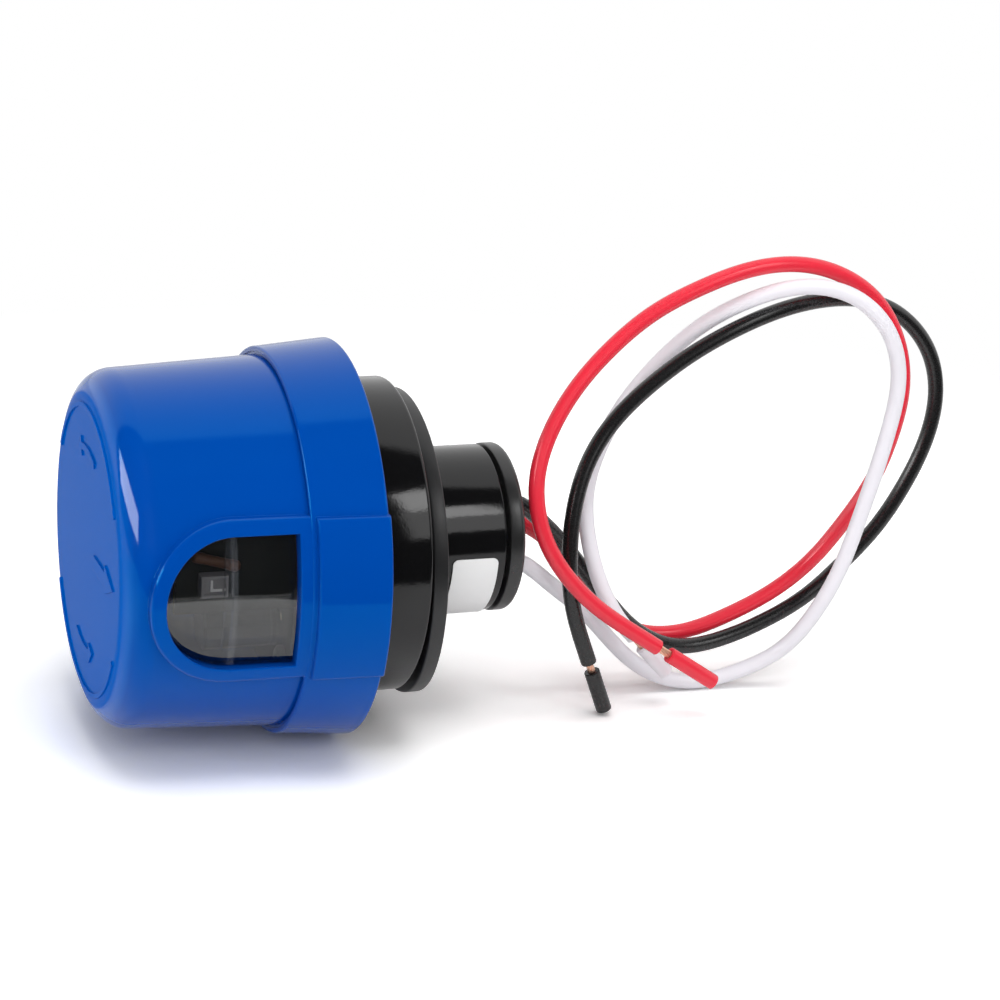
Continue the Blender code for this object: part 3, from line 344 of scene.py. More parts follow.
def object_place(tree):
    return wired(tree, "ShaderNodeTexCoord").outputs["Object"]


def split(tree, vector):
    """The sockets of a vector's parts, by name."""
    return wired(tree, "ShaderNodeSeparateXYZ", {"Vector": vector}).outputs


def maths(tree, operation, first, second=0.0):
    return wired(tree, "ShaderNodeMath", {0: first, 1: second}, operation=operation).outputs[0]


def noise(tree, place, scale, detail=2.0):
    inputs = {"Vector": place, "Scale": scale, "Detail": detail}
    return wired(tree, "ShaderNodeTexNoise", inputs).outputs["Fac"]


def ranged(tree, value, low, high, to_low=0.0, to_high=1.0):
    inputs = {"Value": value, "From Min": low, "From Max": high, "To Min": to_low, "To Max": to_high}
    return wired(tree, "ShaderNodeMapRange", inputs).outputs["Result"]


def mixed(tree, share, first, second):
    """Two colours mixed by a share of the second."""
    node = wired(tree, "ShaderNodeMix", {0: share}, data_type="RGBA")
    for socket, value in zip((s for s in node.inputs if s.type == "RGBA"), (first, second)):
        feed(tree, socket, value)
    return next(s for s in node.outputs if s.type == "RGBA")


def blended(tree, share, first, second):
    """Two shaders mixed by a share of the second."""
    return wired(tree, "ShaderNodeMixShader", {0: share, 1: first, 2: second}).outputs[0]


def white_light(tree, kind, strength):
    return wired(tree, kind, {"Color": WHITE, "Strength": strength}).outputs[0]


def material(name):
    """A new material, its node tree and its shader."""
    made = bpy.data.materials.new(name)
    made.use_nodes = True
    return made, made.node_tree, made.node_tree.nodes["Principled BSDF"]


def moulding(
    name, colour, rough, specular=0.5, tint=0.06, tint_scale=35.0, grain=0.05, grain_scale=900.0,
    wave=0.0, wave_scale=160.0, dust=0.0, metallic=0.0, round_edges=0.0, ior=1.5,
    shine=(1.0, 1.0, 1.0),
):
    """A moulded, drawn or cast finish: mottled colour, uneven gloss, grain, waviness and dust."""
    made, tree, shader = material(name)
    place = object_place(tree)
    mottle = noise(tree, place, tint_scale, 3.0)
    low = tuple(c * (1 - tint) for c in colour)
    high = tuple(min(1.0, c * (1 + tint)) for c in colour)
    base = mixed(tree, mottle, (*low, 1.0), (*high, 1.0))
    gloss = noise(tree, place, tint_scale * GLOSS_FINER)
    if dust:
        specks = wired(tree, "ShaderNodeTexVoronoi", {"Vector": place, "Scale": DUST_SCALE}).outputs
        wanted = maths(tree, "GREATER_THAN", specks["Color"], 1.0 - dust)
        near = ranged(tree, specks["Distance"], *DUST_SIZE, 1.0, 0.0)
        pale = tuple(0.45 + 0.4 * c for c in colour)
        base = mixed(tree, maths(tree, "MULTIPLY", wanted, near), base, (*pale, 1.0))
    height = noise(tree, place, grain_scale)
    inputs = {"Height": height, "Strength": grain, "Distance": GRAIN_HEIGHT}
    if round_edges:
        soft = wired(tree, "ShaderNodeBevel", {"Radius": round_edges}, samples=4)
        inputs["Normal"] = soft.outputs["Normal"]
    normal = wired(tree, "ShaderNodeBump", inputs).outputs["Normal"]
    if wave:
        swell = noise(tree, place, wave_scale, 1.0)
        inputs = {"Height": swell, "Strength": wave, "Distance": WAVE_HEIGHT, "Normal": normal}
        normal = wired(tree, "ShaderNodeBump", inputs).outputs["Normal"]
    spread = rough * GLOSS_SPREAD
    values = {
        "Base Color": base,
        "Roughness": ranged(tree, gloss, 0.3, 0.7, rough - spread, rough + spread),
        "Metallic": metallic,
        "Specular IOR Level": specular,
        "IOR": ior,
        "Specular Tint": (*shine, 1.0),
        "Normal": normal,
    }
    for key, value in values.items():
        feed(tree, shader.inputs[key], value)
    return made


def cap_blue():
    """Glossy blue, but matt on the domed end's face, which is painted a lighter blue for the light it
    catches, and with a whiter reflection tint painted on its round edge where its highlight falls.
    """
    made = moulding(
        "blue_plastic", (0.0002, 0.062, 0.376), 0.07, specular=0.50, tint=0.03, grain=0.0,
        dust=0.010, round_edges=0.00025, shine=(0.02, 0.60, 1.0),
    )
    tree = made.node_tree
    inputs = tree.nodes["Principled BSDF"].inputs
    parts = split(tree, object_place(tree))
    depth = maths(tree, "SUBTRACT", parts["X"], AXIS.x - CAP_LENGTH)
    share = ranged(tree, depth, *SHINE_FADE)
    low, high = (AXIS.z + z for z in SHINE_Z)
    up = ranged(tree, parts["Z"], low - SHINE_SOFT, low + SHINE_SOFT)
    down = ranged(tree, parts["Z"], high - SHINE_SOFT, high + SHINE_SOFT, 1.0, 0.0)
    for limit in (up, down):
        share = maths(tree, "MULTIPLY", share, limit)
    # Painted highlight: whiter reflection tint in the band of the round edge where its highlight
    # falls.
    plain = tuple(inputs["Specular Tint"].default_value)
    feed(tree, inputs["Specular Tint"], mixed(tree, share, plain, PAINTED_HIGHLIGHT_TINT))
    level = inputs["Specular IOR Level"].default_value
    level = ranged(tree, depth, *MATT_FADE, level, MATT_SPECULAR)
    feed(tree, inputs["Specular IOR Level"], level)
    # Painted light: lighter blue on the domed end's face, standing in for the light it catches.
    plain = inputs["Base Color"].links[0].from_socket
    face = ranged(tree, depth, *FACE_PAINTED_LIGHT_FADE)
    feed(tree, inputs["Base Color"], mixed(tree, face, plain, FACE_PAINTED_LIGHT_BLUE))
    return made


def smoked():
    """Dark see-through polycarbonate, polished, with the rib behind it slightly paler."""
    made = moulding(
        "smoked_polycarbonate", (0.0018, 0.0019, 0.0022), 0.035, specular=0.85, tint=0.05,
        grain=0.0, dust=0.008, ior=1.6,
    )
    tree = made.node_tree
    shader = tree.nodes["Principled BSDF"]
    parts = split(tree, object_place(tree))
    off = maths(tree, "SUBTRACT", parts["X"], LENS_RIB_AT + AXIS.x)
    off = maths(tree, "ABSOLUTE", off)
    half = LENS_RIB_WIDTH / 2
    on_rib = ranged(tree, off, half * 0.75, half * 1.05, 1.0, 0.0)
    base = shader.inputs["Base Color"]
    feed(tree, base, mixed(tree, on_rib, base.links[0].from_socket, RIB_GREY))
    low, high = (AXIS.z + z for z in CLEAR_Z)
    clear = ranged(tree, parts["Z"], low, high, *CLEAR)
    through = wired(tree, "ShaderNodeBsdfTransparent", {"Color": clear})
    whole = wired(tree, "ShaderNodeAddShader", {0: shader.outputs[0], 1: through.outputs[0]})
    tree.links.new(whole.outputs[0], tree.nodes["Material Output"].inputs["Surface"])
    return made


BLUE = cap_blue()
SMOKED = smoked()
BLACK = moulding(
    "black_phenolic", (0.0045, 0.0045, 0.005), 0.10, specular=0.50, tint=0.10, grain=0.30,
    grain_scale=2200.0, wave=0.10, wave_scale=520.0, dust=0.012, round_edges=0.0002,
)
DARK = moulding(
    "satin_black_plastic", (0.017, 0.017, 0.0175), 0.29, specular=0.62, tint=0.10, grain=0.45,
    grain_scale=1500.0, dust=0.006, round_edges=0.0002,
)
RUBBER = moulding(
    "black_foam_rubber", (0.012, 0.012, 0.013), 0.36, specular=0.60, tint=0.15, grain=0.55,
    grain_scale=2200.0, wave=0.10, wave_scale=300.0, dust=0.010,
)
BRASS = moulding("stamped_brass", (0.74, 0.56, 0.25), 0.30, tint=0.06, grain=0.15, metallic=1.0)
STEEL = moulding(
    "zinc_plated_steel", (0.62, 0.62, 0.64), 0.30, tint=0.05, grain=0.12, metallic=1.0,
    round_edges=0.0001,
)
COPPER = moulding(
    "copper_strands", (0.97, 0.57, 0.42), 0.30, tint=0.12, tint_scale=700.0, grain=0.10,
    grain_scale=3000.0, metallic=1.0,
)
BOARD = moulding("circuit_board", (0.002, 0.007, 0.004), 0.45, tint=0.15, tint_scale=300.0, grain=0.2)
COMPONENT = moulding("black_component", (0.015, 0.015, 0.017), 0.40, tint=0.1, grain=0.2)
YELLOW = moulding("yellow_box", (0.60, 0.40, 0.05), 0.40, tint=0.05, grain=0.1)
SLEEVE = moulding("can_sleeve", (0.03, 0.03, 0.05), 0.32, tint=0.08, grain=0.1)
DISC = moulding("dipped_disc", (0.04, 0.10, 0.35), 0.33, tint=0.08, grain=0.2, grain_scale=500.0)
TAN = moulding("resistor_lacquer", (0.15, 0.062, 0.030), 0.45, tint=0.12, tint_scale=500.0, grain=0.2)
SENSOR = moulding(
    "sensor_epoxy", (0.34, 0.34, 0.35), 0.18, specular=0.7, tint=0.10, tint_scale=500.0, grain=0.1,
)
# The sensor's pale metal frame: near-white partly its own colour, partly a painted glint.
FRAME_GLINT_WHITE = moulding("sensor_frame", (0.99, 0.98, 0.99), 0.40, tint=0.03, grain=0.1)
PAPER = moulding(
    "label_paper", (0.92, 0.92, 0.92), 0.42, specular=0.4, tint=0.015, tint_scale=200.0, grain=0.10,
    grain_scale=2500.0, wave=0.04,
)
INSULATION = {
    "red": moulding(
        "red_pvc", (0.84, 0.024, 0.050), 0.25, specular=0.60, tint=0.05, tint_scale=120.0,
        grain=0.10, grain_scale=2600.0, wave=0.03, wave_scale=500.0,
    ),
    "white": moulding(
        "white_pvc", (0.90, 0.88, 0.935), 0.30, specular=0.50, tint=0.02, tint_scale=120.0,
        grain=0.10, grain_scale=2600.0, wave=0.03, wave_scale=500.0,
    ),
    "black": moulding(
        "black_pvc", (0.010, 0.010, 0.0105), 0.27, specular=0.65, tint=0.10, tint_scale=120.0,
        grain=0.16, grain_scale=2800.0, wave=0.04, wave_scale=650.0,
    ),
}


# Mesh helpers


def placed(x, radius, degrees):
    """A point of the axis frame from its distance along the axis, its radius and its angle."""
    turn = math.radians(degrees)
    return Vector((x, -radius * math.cos(turn), radius * math.sin(turn)))


def centre_at(radius, degrees):
    """The (y, z) place of a line along x."""
    return tuple(placed(0.0, radius, degrees).yz)


def rounded(corners):
    """The (x, radius) outline through (x, radius, fillet) corners, each fillet as a fine arc."""
    outline = []
    for index, (x, r, fillet) in enumerate(corners):
        here = Vector((x, r))
        if fillet <= 0.0:
            outline.append((x, r))
            continue
        before = (Vector(corners[index - 1][:2]) - here).normalized()
        after = (Vector(corners[(index + 1) % len(corners)][:2]) - here).normalized()
        half = before.angle(after) / 2
        back = fillet / math.tan(half)
        start = here + before * back
        end = here + after * back
        centre = here + (before + after).normalized() * fillet / math.sin(half)
        sweep = math.pi - 2 * half
        count = max(4, math.ceil(fillet * sweep / ARC_STEP))
        side = math.copysign(1.0, (start - centre).cross(end - centre))
        for step in range(count + 1):
            spoke = Matrix.Rotation(side * sweep * step / count, 2) @ (start - centre)
            outline.append(tuple(centre + spoke))
    return outline


def ring_section(low, high, inner, outer, inner_round, outer_round):
    """The outline of a flat ring with rounded edges."""
    outside = [(low, outer, outer_round), (high, outer, outer_round)]
    return rounded([(low, inner, inner_round), *outside, (high, inner, inner_round)])


def edge_steps(radius, count):
    """How far a rounded edge lies inside either of its sides, in steps from one to the other."""
    turns = [math.pi / 2 * step / count for step in range(count + 1)]
    return [(radius * (1 - math.cos(turn)), radius * (1 - math.sin(turn))) for turn in turns]


def turned(profile, steps=TURN_STEPS, centre=(0.0, 0.0)):
    """A solid of revolution about a line along x. A profile that starts and ends on it stays open."""
    shape = bmesh.new()
    closed = profile[0][1] > 0.0
    rows = []
    for x, r in profile:
        if r <= 0.0:
            rows.append([shape.verts.new((x, *centre))] * steps)
            continue
        row = []
        for step in range(steps):
            point = placed(x, r, 360.0 * (step + 0.5) / steps - 90.0)
            row.append(shape.verts.new((x, point.y + centre[0], point.z + centre[1])))
        rows.append(row)
    pairs = list(zip(rows, rows[1:]))
    if closed:
        pairs.append((rows[-1], rows[0]))
    for row, following in pairs:
        for index in range(steps):
            after = (index + 1) % steps
            corners = (row[index], row[after], following[after], following[index])
            shape.faces.new(tuple(dict.fromkeys(corners)))
    bmesh.ops.recalc_face_normals(shape, faces=shape.faces)
    return shape


def lofted(rings, looped=False):
    """A closed solid through a row of like outlines: with a face over each end, or joined up."""
    shape = bmesh.new()
    rows = [[shape.verts.new(point) for point in ring] for ring in rings]
    pairs = list(zip(rows, rows[1:]))
    if looped:
        pairs.append((rows[-1], rows[0]))
    for row, following in pairs:
        for index in range(len(row)):
            after = (index + 1) % len(row)
            shape.faces.new((row[index], row[after], following[after], following[index]))
    if not looped:
        shape.faces.new(rows[0])
        shape.faces.new(rows[-1])
    bmesh.ops.recalc_face_normals(shape, faces=shape.faces)
    return shape


def box(x, y, z):
    corners = ((y[0], z[0]), (y[1], z[0]), (y[1], z[1]), (y[0], z[1]))
    return lofted([[(at, *corner) for corner in corners] for at in x])


def added(name, data):
    """A new object in the scene."""
    made = bpy.data.objects.new(name, data)
    bpy.context.scene.collection.objects.link(made)
    return made


def raw(name, shape):
    mesh = bpy.data.meshes.new(name)
    shape.to_mesh(mesh)
    shape.free()
    return added(name, mesh)


def joined(name, base, changes):
    """The mesh left by a row of exact Booleans on a base shape, as an object of its own."""
    made = raw(name, base)
    tools = []
    for operation, shape in changes:
        tool = raw(f"{name}_tool", shape)
        change = made.modifiers.new("change", "BOOLEAN")
        change.operation = operation
        change.solver = "EXACT"
        change.object = tool
        tools.append(tool)
    graph = bpy.context.evaluated_depsgraph_get()
    mesh = bpy.data.meshes.new_from_object(made.evaluated_get(graph))
    made.modifiers.clear()
    made.data = mesh
    for tool in tools:
        bpy.data.objects.remove(tool)
    return made


def together(shapes):
    whole = bmesh.new()
    for shape in shapes:
        piece = bpy.data.meshes.new("piece")
        shape.to_mesh(piece)
        shape.free()
        whole.from_mesh(piece)
        bpy.data.meshes.remove(piece)
    return whole


def dressed(made, body, nodes, finish, sharp_deg=35.0):
    """Gives a piece its finish, puts it in place and lets it stand for its solids."""
    made.data.materials.clear()
    made.data.materials.append(finish)
    made.data.transform(Matrix.Translation(AXIS))
    made.data.shade_smooth()
    made.data.set_sharp_from_angle(angle=math.radians(sharp_deg))
    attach(made, body)
    if nodes:
        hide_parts(*nodes)


# Cap, base, receptacle and sensor


def skirt_outer(x):
    return SKIRT_RIM_R + SKIRT_DRAFT * x


def dome_outer(x):
    return skirt_outer(-SKIRT_LENGTH) - DOME_STEP + DOME_DRAFT * (x + SKIRT_LENGTH)


def frame_outer(x):
    return dome_outer(-SKIRT_LENGTH) + FRAME_RISE + FRAME_DRAFT * (x + SKIRT_LENGTH)


def boss_outer(x):
    return SKIRT_RIM_R + BOSS_RISE + BOSS_DRAFT * x


def cap_profile():
    step = -SKIRT_LENGTH
    top = -CAP_LENGTH
    base_r = dome_outer(step)
    cavity = step + STEP_WALL
    return rounded(
        [
            (top, 0.0, 0.0),
            (top, dome_outer(top), DOME_FILLET),
            (step, base_r, 0.0),
            (step + GROOVE_DEPTH, base_r, 0.0),
            (step + GROOVE_DEPTH, base_r + GROOVE_WIDTH, 0.0),
            (step, base_r + GROOVE_WIDTH, GROOVE_ROUND),
            (step, skirt_outer(step), EDGE_ROUND),
            (0.0, SKIRT_RIM_R, EDGE_ROUND),
            (0.0, SKIRT_RIM_R - CAP_WALL, FINE_ROUND),
            (cavity, skirt_outer(cavity) - CAP_WALL, EDGE_ROUND),
            (cavity, base_r - CAP_WALL, 0.0),
            (top + CAP_WALL, dome_outer(top) - CAP_WALL, DOME_FILLET - CAP_WALL),
            (top + CAP_WALL, 0.0, 0.0),
        ]
    )


def on_side(x, z, radius):
    """The point over (x, z) on a surface this far from the axis, on the window's side."""
    return Vector((x, -math.sqrt(max(0.0, radius * radius - z * z)), z))


def window_ring(out, radius_at):
    """The window's D, grown outwards by a distance, on a surface given as radius over x."""
    reach = WINDOW_R + out
    side = WINDOW_SIDE + out * (FRAME_BORDER + GROOVE_DEPTH + FRAME_LAP) / FRAME_BORDER
    arc = 72
    straight = 22
    ups = 40
    points = []
    for step in range(arc + 1):
        turn = math.radians(90.0 + 180.0 * step / arc)
        points.append((WINDOW_CENTRE + reach * math.cos(turn), reach * math.sin(turn)))
    width = side - WINDOW_CENTRE
    edge = [WINDOW_CENTRE + width * (step / straight) for step in range(1, straight)]
    points += [(x, -reach) for x in edge]
    points += [(side, -reach + 2 * reach * step / ups) for step in range(ups + 1)]
    points += [(x, reach) for x in reversed(edge)]
    return [on_side(x, z, radius_at(x)) for x, z in points]


def window_block(out, deep, high):
    """The window's D as a block, from a depth under the dome's surface to a height over it."""
    levels = (-deep, high)
    return lofted([window_ring(out, lambda x, up=up: dome_outer(x) + up) for up in levels])


def window_band():
    """The raised frame round the window, with rounded edges, as a closed band."""
    rings = [window_ring(FRAME_BORDER, lambda x: dome_outer(x) - FRAME_ROOT)]
    for inset, drop in edge_steps(FRAME_ROUND, 6):
        rings.append(window_ring(FRAME_BORDER - inset, lambda x, d=drop: frame_outer(x) - d))
    for step in range(1, 4):
        out = FRAME_BORDER - FRAME_ROUND
        out += (FRAME_INNER_ROUND - out) * step / 4
        rings.append(window_ring(out, frame_outer))
    for drop, out in edge_steps(FRAME_INNER_ROUND, 6):
        rings.append(window_ring(out, lambda x, d=drop: frame_outer(x) - d))
    rings.append(window_ring(0.0, lambda x: dome_outer(x) - FRAME_ROOT))
    return lofted(rings, looped=True)


def boss_block():
    """The strip that stands out of the skirt below the window, rounded at all its edges."""
    half = WINDOW_R + FRAME_BORDER
    low = -SKIRT_LENGTH + GROOVE_DEPTH + CAP_WALL / 4
    high = BOSS_LIP
    deep = SKIRT_RIM_R - BOSS_ROOT
    edge = [(half - inset, drop) for inset, drop in edge_steps(EDGE_ROUND, 5)]
    wide = edge[-1][0]
    across = 44
    places = edge + [(wide - 2 * wide * step / across, 0.0) for step in range(1, across)]
    places += [(-z, drop) for z, drop in reversed(edge)]
    sections = []
    for z, drop in places:
        outline = rounded(
            [
                (low, skirt_outer(low) - BOSS_ROOT, 0.0),
                (low, boss_outer(low) - drop, EDGE_ROUND),
                (high, boss_outer(high) - drop, EDGE_ROUND),
                (high, deep, 0.0),
            ]
        )
        sections.append([on_side(x, z, r) for x, r in outline])
    return lofted(sections)


def mark(outline):
    """A flat mark raised on the domed end, from points of its outline."""
    ends = (-CAP_LENGTH + SINK, -CAP_LENGTH - RELIEF)
    return lofted([[(x, *point.yz) for point in outline] for x in ends])


def arc_mark(inner, outer, first, last):
    count = max(2, math.ceil(abs(last - first) / MARK_STEP_DEG))
    turns = [first + (last - first) * step / count for step in range(count + 1)]
    outline = [placed(0.0, outer, turn) for turn in turns]
    outline += [placed(0.0, inner, turn) for turn in reversed(turns)]
    return mark(outline)


def turn_arrow(first, last):
    head = math.copysign(TURN_ARROW_HEAD_DEG, last - first)
    half = TURN_ARROW_WIDTH / 2
    count = 16
    shaft = [first + (last - head - first) * step / count for step in range(count + 1)]
    outline = [placed(0.0, TURN_ARROW_R + half, turn) for turn in shaft]
    tip = ((3 * half, last - head), (0.0, last), (-3 * half, last - head))
    outline += [placed(0.0, TURN_ARROW_R + off, turn) for off, turn in tip]
    outline += [placed(0.0, TURN_ARROW_R - half, turn) for turn in reversed(shaft)]
    return mark(outline)


def pointer():
    half = POINTER_WIDTH / 2
    neck = POINTER_TIP_R - POINTER_HEAD
    side = [(neck, 2 * half), (neck, half), (POINTER_TAIL_R, half)]
    outline = [(POINTER_TIP_R, 0.0)] + [(r, -z) for r, z in side] + side[::-1]
    return mark([Vector((0.0, -r, z)) for r, z in outline])


def make_cap():
    half = RING_WIDTH / 2
    marks = [arc_mark(RING_R - half, RING_R + half, *span) for span in RING_SPANS_DEG]
    marks += [turn_arrow(*span) for span in TURN_ARROW_SPANS_DEG]
    marks.append(pointer())
    cap = joined(
        "cap_moulding",
        turned(cap_profile()),
        [
            ("DIFFERENCE", window_block(FRAME_BORDER / 4, 2 * CAP_WALL, 2 * CAP_WALL)),
            ("UNION", window_band()),
            ("UNION", boss_block()),
            ("UNION", together(marks)),
        ],
    )
    dressed(cap, "photocontrol", ["cap"], BLUE, 30.0)
    even = cap.modifiers.new("even_shading", "WEIGHTED_NORMAL")
    even.keep_sharp = True
    even.weight = 80


def dome_shell(inner, outer, low, high):
    """A turned shell between two depths under the dome's surface."""
    places = ((low, inner), (low, outer), (high, outer), (high, inner))
    return turned([(x, dome_outer(x) - depth) for x, depth in places])


def taken(made):
    """The shape of an object that is no longer needed."""
    shape = bmesh.new()
    shape.from_mesh(made.data)
    bpy.data.objects.remove(made)
    return shape


def make_lens():
    """The smoked window: a plug in the frame's opening, a flange behind it and one rib."""
    seat = CAP_WALL + GAP
    end = WINDOW_CENTRE - WINDOW_R - LENS_FLANGE - GAP
    start = -SKIRT_LENGTH
    block = window_block(LENS_FLANGE - GAP, 4 * CAP_WALL, CAP_WALL)
    flange = joined("flange", dome_shell(seat + LENS_WALL, seat, end, start), [("INTERSECT", block)])
    block = window_block(-GAP, 4 * CAP_WALL, CAP_WALL)
    depth = seat + LENS_WALL / 2
    plug = joined("plug", dome_shell(depth, LENS_RECESS, end, start), [("INTERSECT", block)])
    reach = box((end, start), (-1.5 * SKIRT_RIM_R, 0.0), (-LENS_RIB_HALF, LENS_RIB_HALF))
    low = LENS_RIB_AT - LENS_RIB_WIDTH / 2
    high = LENS_RIB_AT + LENS_RIB_WIDTH / 2
    deep = seat + LENS_WALL + LENS_RIB_DEPTH
    rib = joined("rib", dome_shell(deep, depth, low, high), [("INTERSECT", reach)])
    lens = joined("window_pane", taken(flange), [("UNION", taken(plug)), ("UNION", taken(rib))])
    dressed(lens, "photocontrol", ["window_lens"], SMOKED)


def make_receptacle():
    bore = BARREL_R - BARREL_WALL
    recess = HOUSING_R - HOUSING_WALL
    shelf = HOUSING_AT + FACE_THICK + GAP
    floor = SHOULDER_AT - SHOULDER_THICK
    section = rounded(
        [
            (HOUSING_AT, recess, 0.0),
            (HOUSING_AT, HOUSING_R, EDGE_ROUND),
            (SHOULDER_AT, HOUSING_R, SHOULDER_ROUND),
            (SHOULDER_AT, BARREL_R, 0.0),
            (BARREL_END, BARREL_R, EDGE_ROUND),
            (BARREL_END, bore, 0.0),
            (floor, bore, 0.0),
            (floor, POCKET_R, 0.0),
            (shelf, POCKET_R, 0.0),
            (shelf, recess, 0.0),
        ]
    )
    housing = raw("receptacle_body", turned(section))
    dressed(housing, "receptacle", ["receptacle_housing"], BLACK)


def make_washer():
    """The soft ring behind the puck: slack round the barrel, hanging, and bowed away below it."""
    low = SHOULDER_AT + GAP
    high = low + WASHER_THICK
    inner = BARREL_R + WASHER_SLACK
    ring = ring_section(low, high, inner, WASHER_OUTER_R, WASHER_INNER_ROUND, WASHER_ROUND)
    shape = turned(ring)
    for vertex in shape.verts:
        radius = math.hypot(vertex.co.y, vertex.co.z)
        turn = math.degrees(math.atan2(vertex.co.z, -vertex.co.y))
        away = (turn - WASHER_BOW_AT_DEG + 180.0) % 360.0 - 180.0
        swell = math.exp(-((away / WASHER_BOW_SPREAD_DEG) ** 2))
        share = (radius - inner) / (WASHER_OUTER_R - inner)
        vertex.co.x += WASHER_BOW * swell * share * share
        vertex.co.z -= WASHER_DROP
    washer = raw("mounting_washer", shape)
    dressed(washer, "receptacle", ["mounting_gasket"], RUBBER)


def make_end():
    spigot = BARREL_R - BARREL_WALL - GAP
    section = rounded(
        [
            (END_BACK, 0.0, 0.0),
            (END_BACK, END_R, END_ROUND),
            (END_AT, END_R, FINE_ROUND),
            (END_AT, spigot, 0.0),
            (END_AT - SPIGOT_LENGTH, spigot, 0.0),
            (END_AT - SPIGOT_LENGTH, spigot - END_WALL, 0.0),
            (END_BACK - END_WALL, spigot - END_WALL, 0.0),
            (END_BACK - END_WALL, 0.0, 0.0),
        ]
    )
    collar = rounded(
        [
            (END_BACK - SINK, 0.0, 0.0),
            (END_BACK - SINK, COLLAR_R + COLLAR_FOOT_WIDTH, 0.0),
            (END_BACK + COLLAR_FOOT_HEIGHT, COLLAR_R, 0.0),
            (COLLAR_END, COLLAR_R, COLLAR_ROUND),
            (COLLAR_END, 0.0, 0.0),
        ]
    )
    low = END_BACK - END_WALL - SINK
    bore = LEAD_R + GAP
    hole = [(low, 0.0), (low, bore), (COLLAR_END + SINK, bore), (COLLAR_END + SINK, 0.0)]
    centres = [centre_at(LEAD_AT_R, lead["angle"]) for lead in LEADS.values()]
    changes = [("UNION", turned(collar, SMALL_STEPS, centre)) for centre in centres]
    changes += [("DIFFERENCE", turned(hole, SMALL_STEPS, centre)) for centre in centres]
    end = joined("end_plug", turned(section, RING_STEPS), changes)
    dressed(end, "receptacle", ["end_cap"], DARK)


def make_label():
    """A thin bare label with round corners, wrapped on the barrel."""
    inner = BARREL_R + LABEL_LIFT
    outer = inner + LABEL_THICK
    first, last = LABEL_DEG
    arc = math.radians(last - first) * inner
    turns = [15.0 * step for step in range(7)]
    ends = [LABEL_CORNER * (1 - math.cos(math.radians(turn))) for turn in turns]
    steps = 48
    middle = [LABEL_CORNER + (arc - 2 * LABEL_CORNER) * step / steps for step in range(1, steps)]
    sections = []
    for along in ends + middle + [arc - end for end in reversed(ends)]:
        short = max(0.0, LABEL_CORNER - along, LABEL_CORNER - (arc - along))
        inset = LABEL_CORNER - math.sqrt(LABEL_CORNER**2 - short**2)
        low = LABEL_AT + inset
        high = LABEL_AT + LABEL_WIDTH - inset
        turn = first + math.degrees(along / inner)
        corners = [(low, inner), (low, outer), (high, outer), (high, inner)]
        sections.append([placed(x, r, turn) for x, r in corners])
    label = raw("bare_label", lofted(sections))
    dressed(label, "receptacle", ["label"], PAPER)


def make_base():
    """The disc that closes the cap, its screws and the gasket, seen from behind."""
    radius = skirt_outer(BASE_AT) - CAP_WALL - GAP
    section = rounded(
        [
            (BASE_AT, 0.0, 0.0),
            (BASE_AT, radius, FINE_ROUND),
            (BASE_FACE, radius, BASE_ROUND),
            (BASE_FACE, 0.0, 0.0),
        ]
    )
    centres = [centre_at(BASE_SCREW_R, turn) for turn in BASE_SCREW_DEG]
    low = BASE_AT - SINK
    high = BASE_FACE + SINK
    hole = [(low, 0.0), (low, SHANK_R + GAP), (high, SHANK_R + GAP), (high, 0.0)]
    changes = [("DIFFERENCE", turned(hole, SMALL_STEPS, centre)) for centre in centres]
    plate = joined("base_disc", turned(section, RING_STEPS), changes)
    dressed(plate, "photocontrol", ["base_plate"], DARK)
    low = BASE_FACE + GAP
    high = HOUSING_AT - GAP
    ring = ring_section(low, high, GASKET_INNER_R, GASKET_OUTER_R, FINE_ROUND, FINE_ROUND)
    gasket = raw("base_seal", turned(ring, RING_STEPS))
    dressed(gasket, "photocontrol", ["base_gasket"], RUBBER)
    for number, centre in enumerate(centres, 1):
        make_screw(number, centre)


def make_screw(number, centre):
    """A pan-head screw with a cross recess, its head towards the receptacle."""
    seat = BASE_FACE + GAP
    top = seat + HEAD_HEIGHT
    tip = seat - SHANK_LENGTH
    outline = rounded(
        [
            (top, 0.0, 0.0),
            (top, HEAD_R * HEAD_FLAT, HEAD_HEIGHT * HEAD_CROWN),
            (seat, HEAD_R, 0.0),
            (seat, SHANK_R, 0.0),
            (tip, SHANK_R, 0.0),
            (tip - SHANK_R, 0.0, 0.0),
        ]
    )
    half = RECESS_WIDTH / 2
    arm = ((RECESS_REACH, -half), (RECESS_REACH, half), (half, half))
    cross = []
    for turn in range(4):
        spin = Matrix.Rotation(turn * math.pi / 2, 2)
        cross += [spin @ Vector(point) for point in arm]
    rings = []
    for at, shrink in zip((top - RECESS_DEPTH, top + RECESS_DEPTH), RECESS_TAPER):
        rings.append([(at, *(point * shrink + Vector(centre))) for point in cross])
    whole = turned(outline, SMALL_STEPS, centre)
    screw = joined(f"base_screw_head_{number}", whole, [("DIFFERENCE", lofted(rings))])
    dressed(screw, "photocontrol", [f"base_screw_{number}"], STEEL)


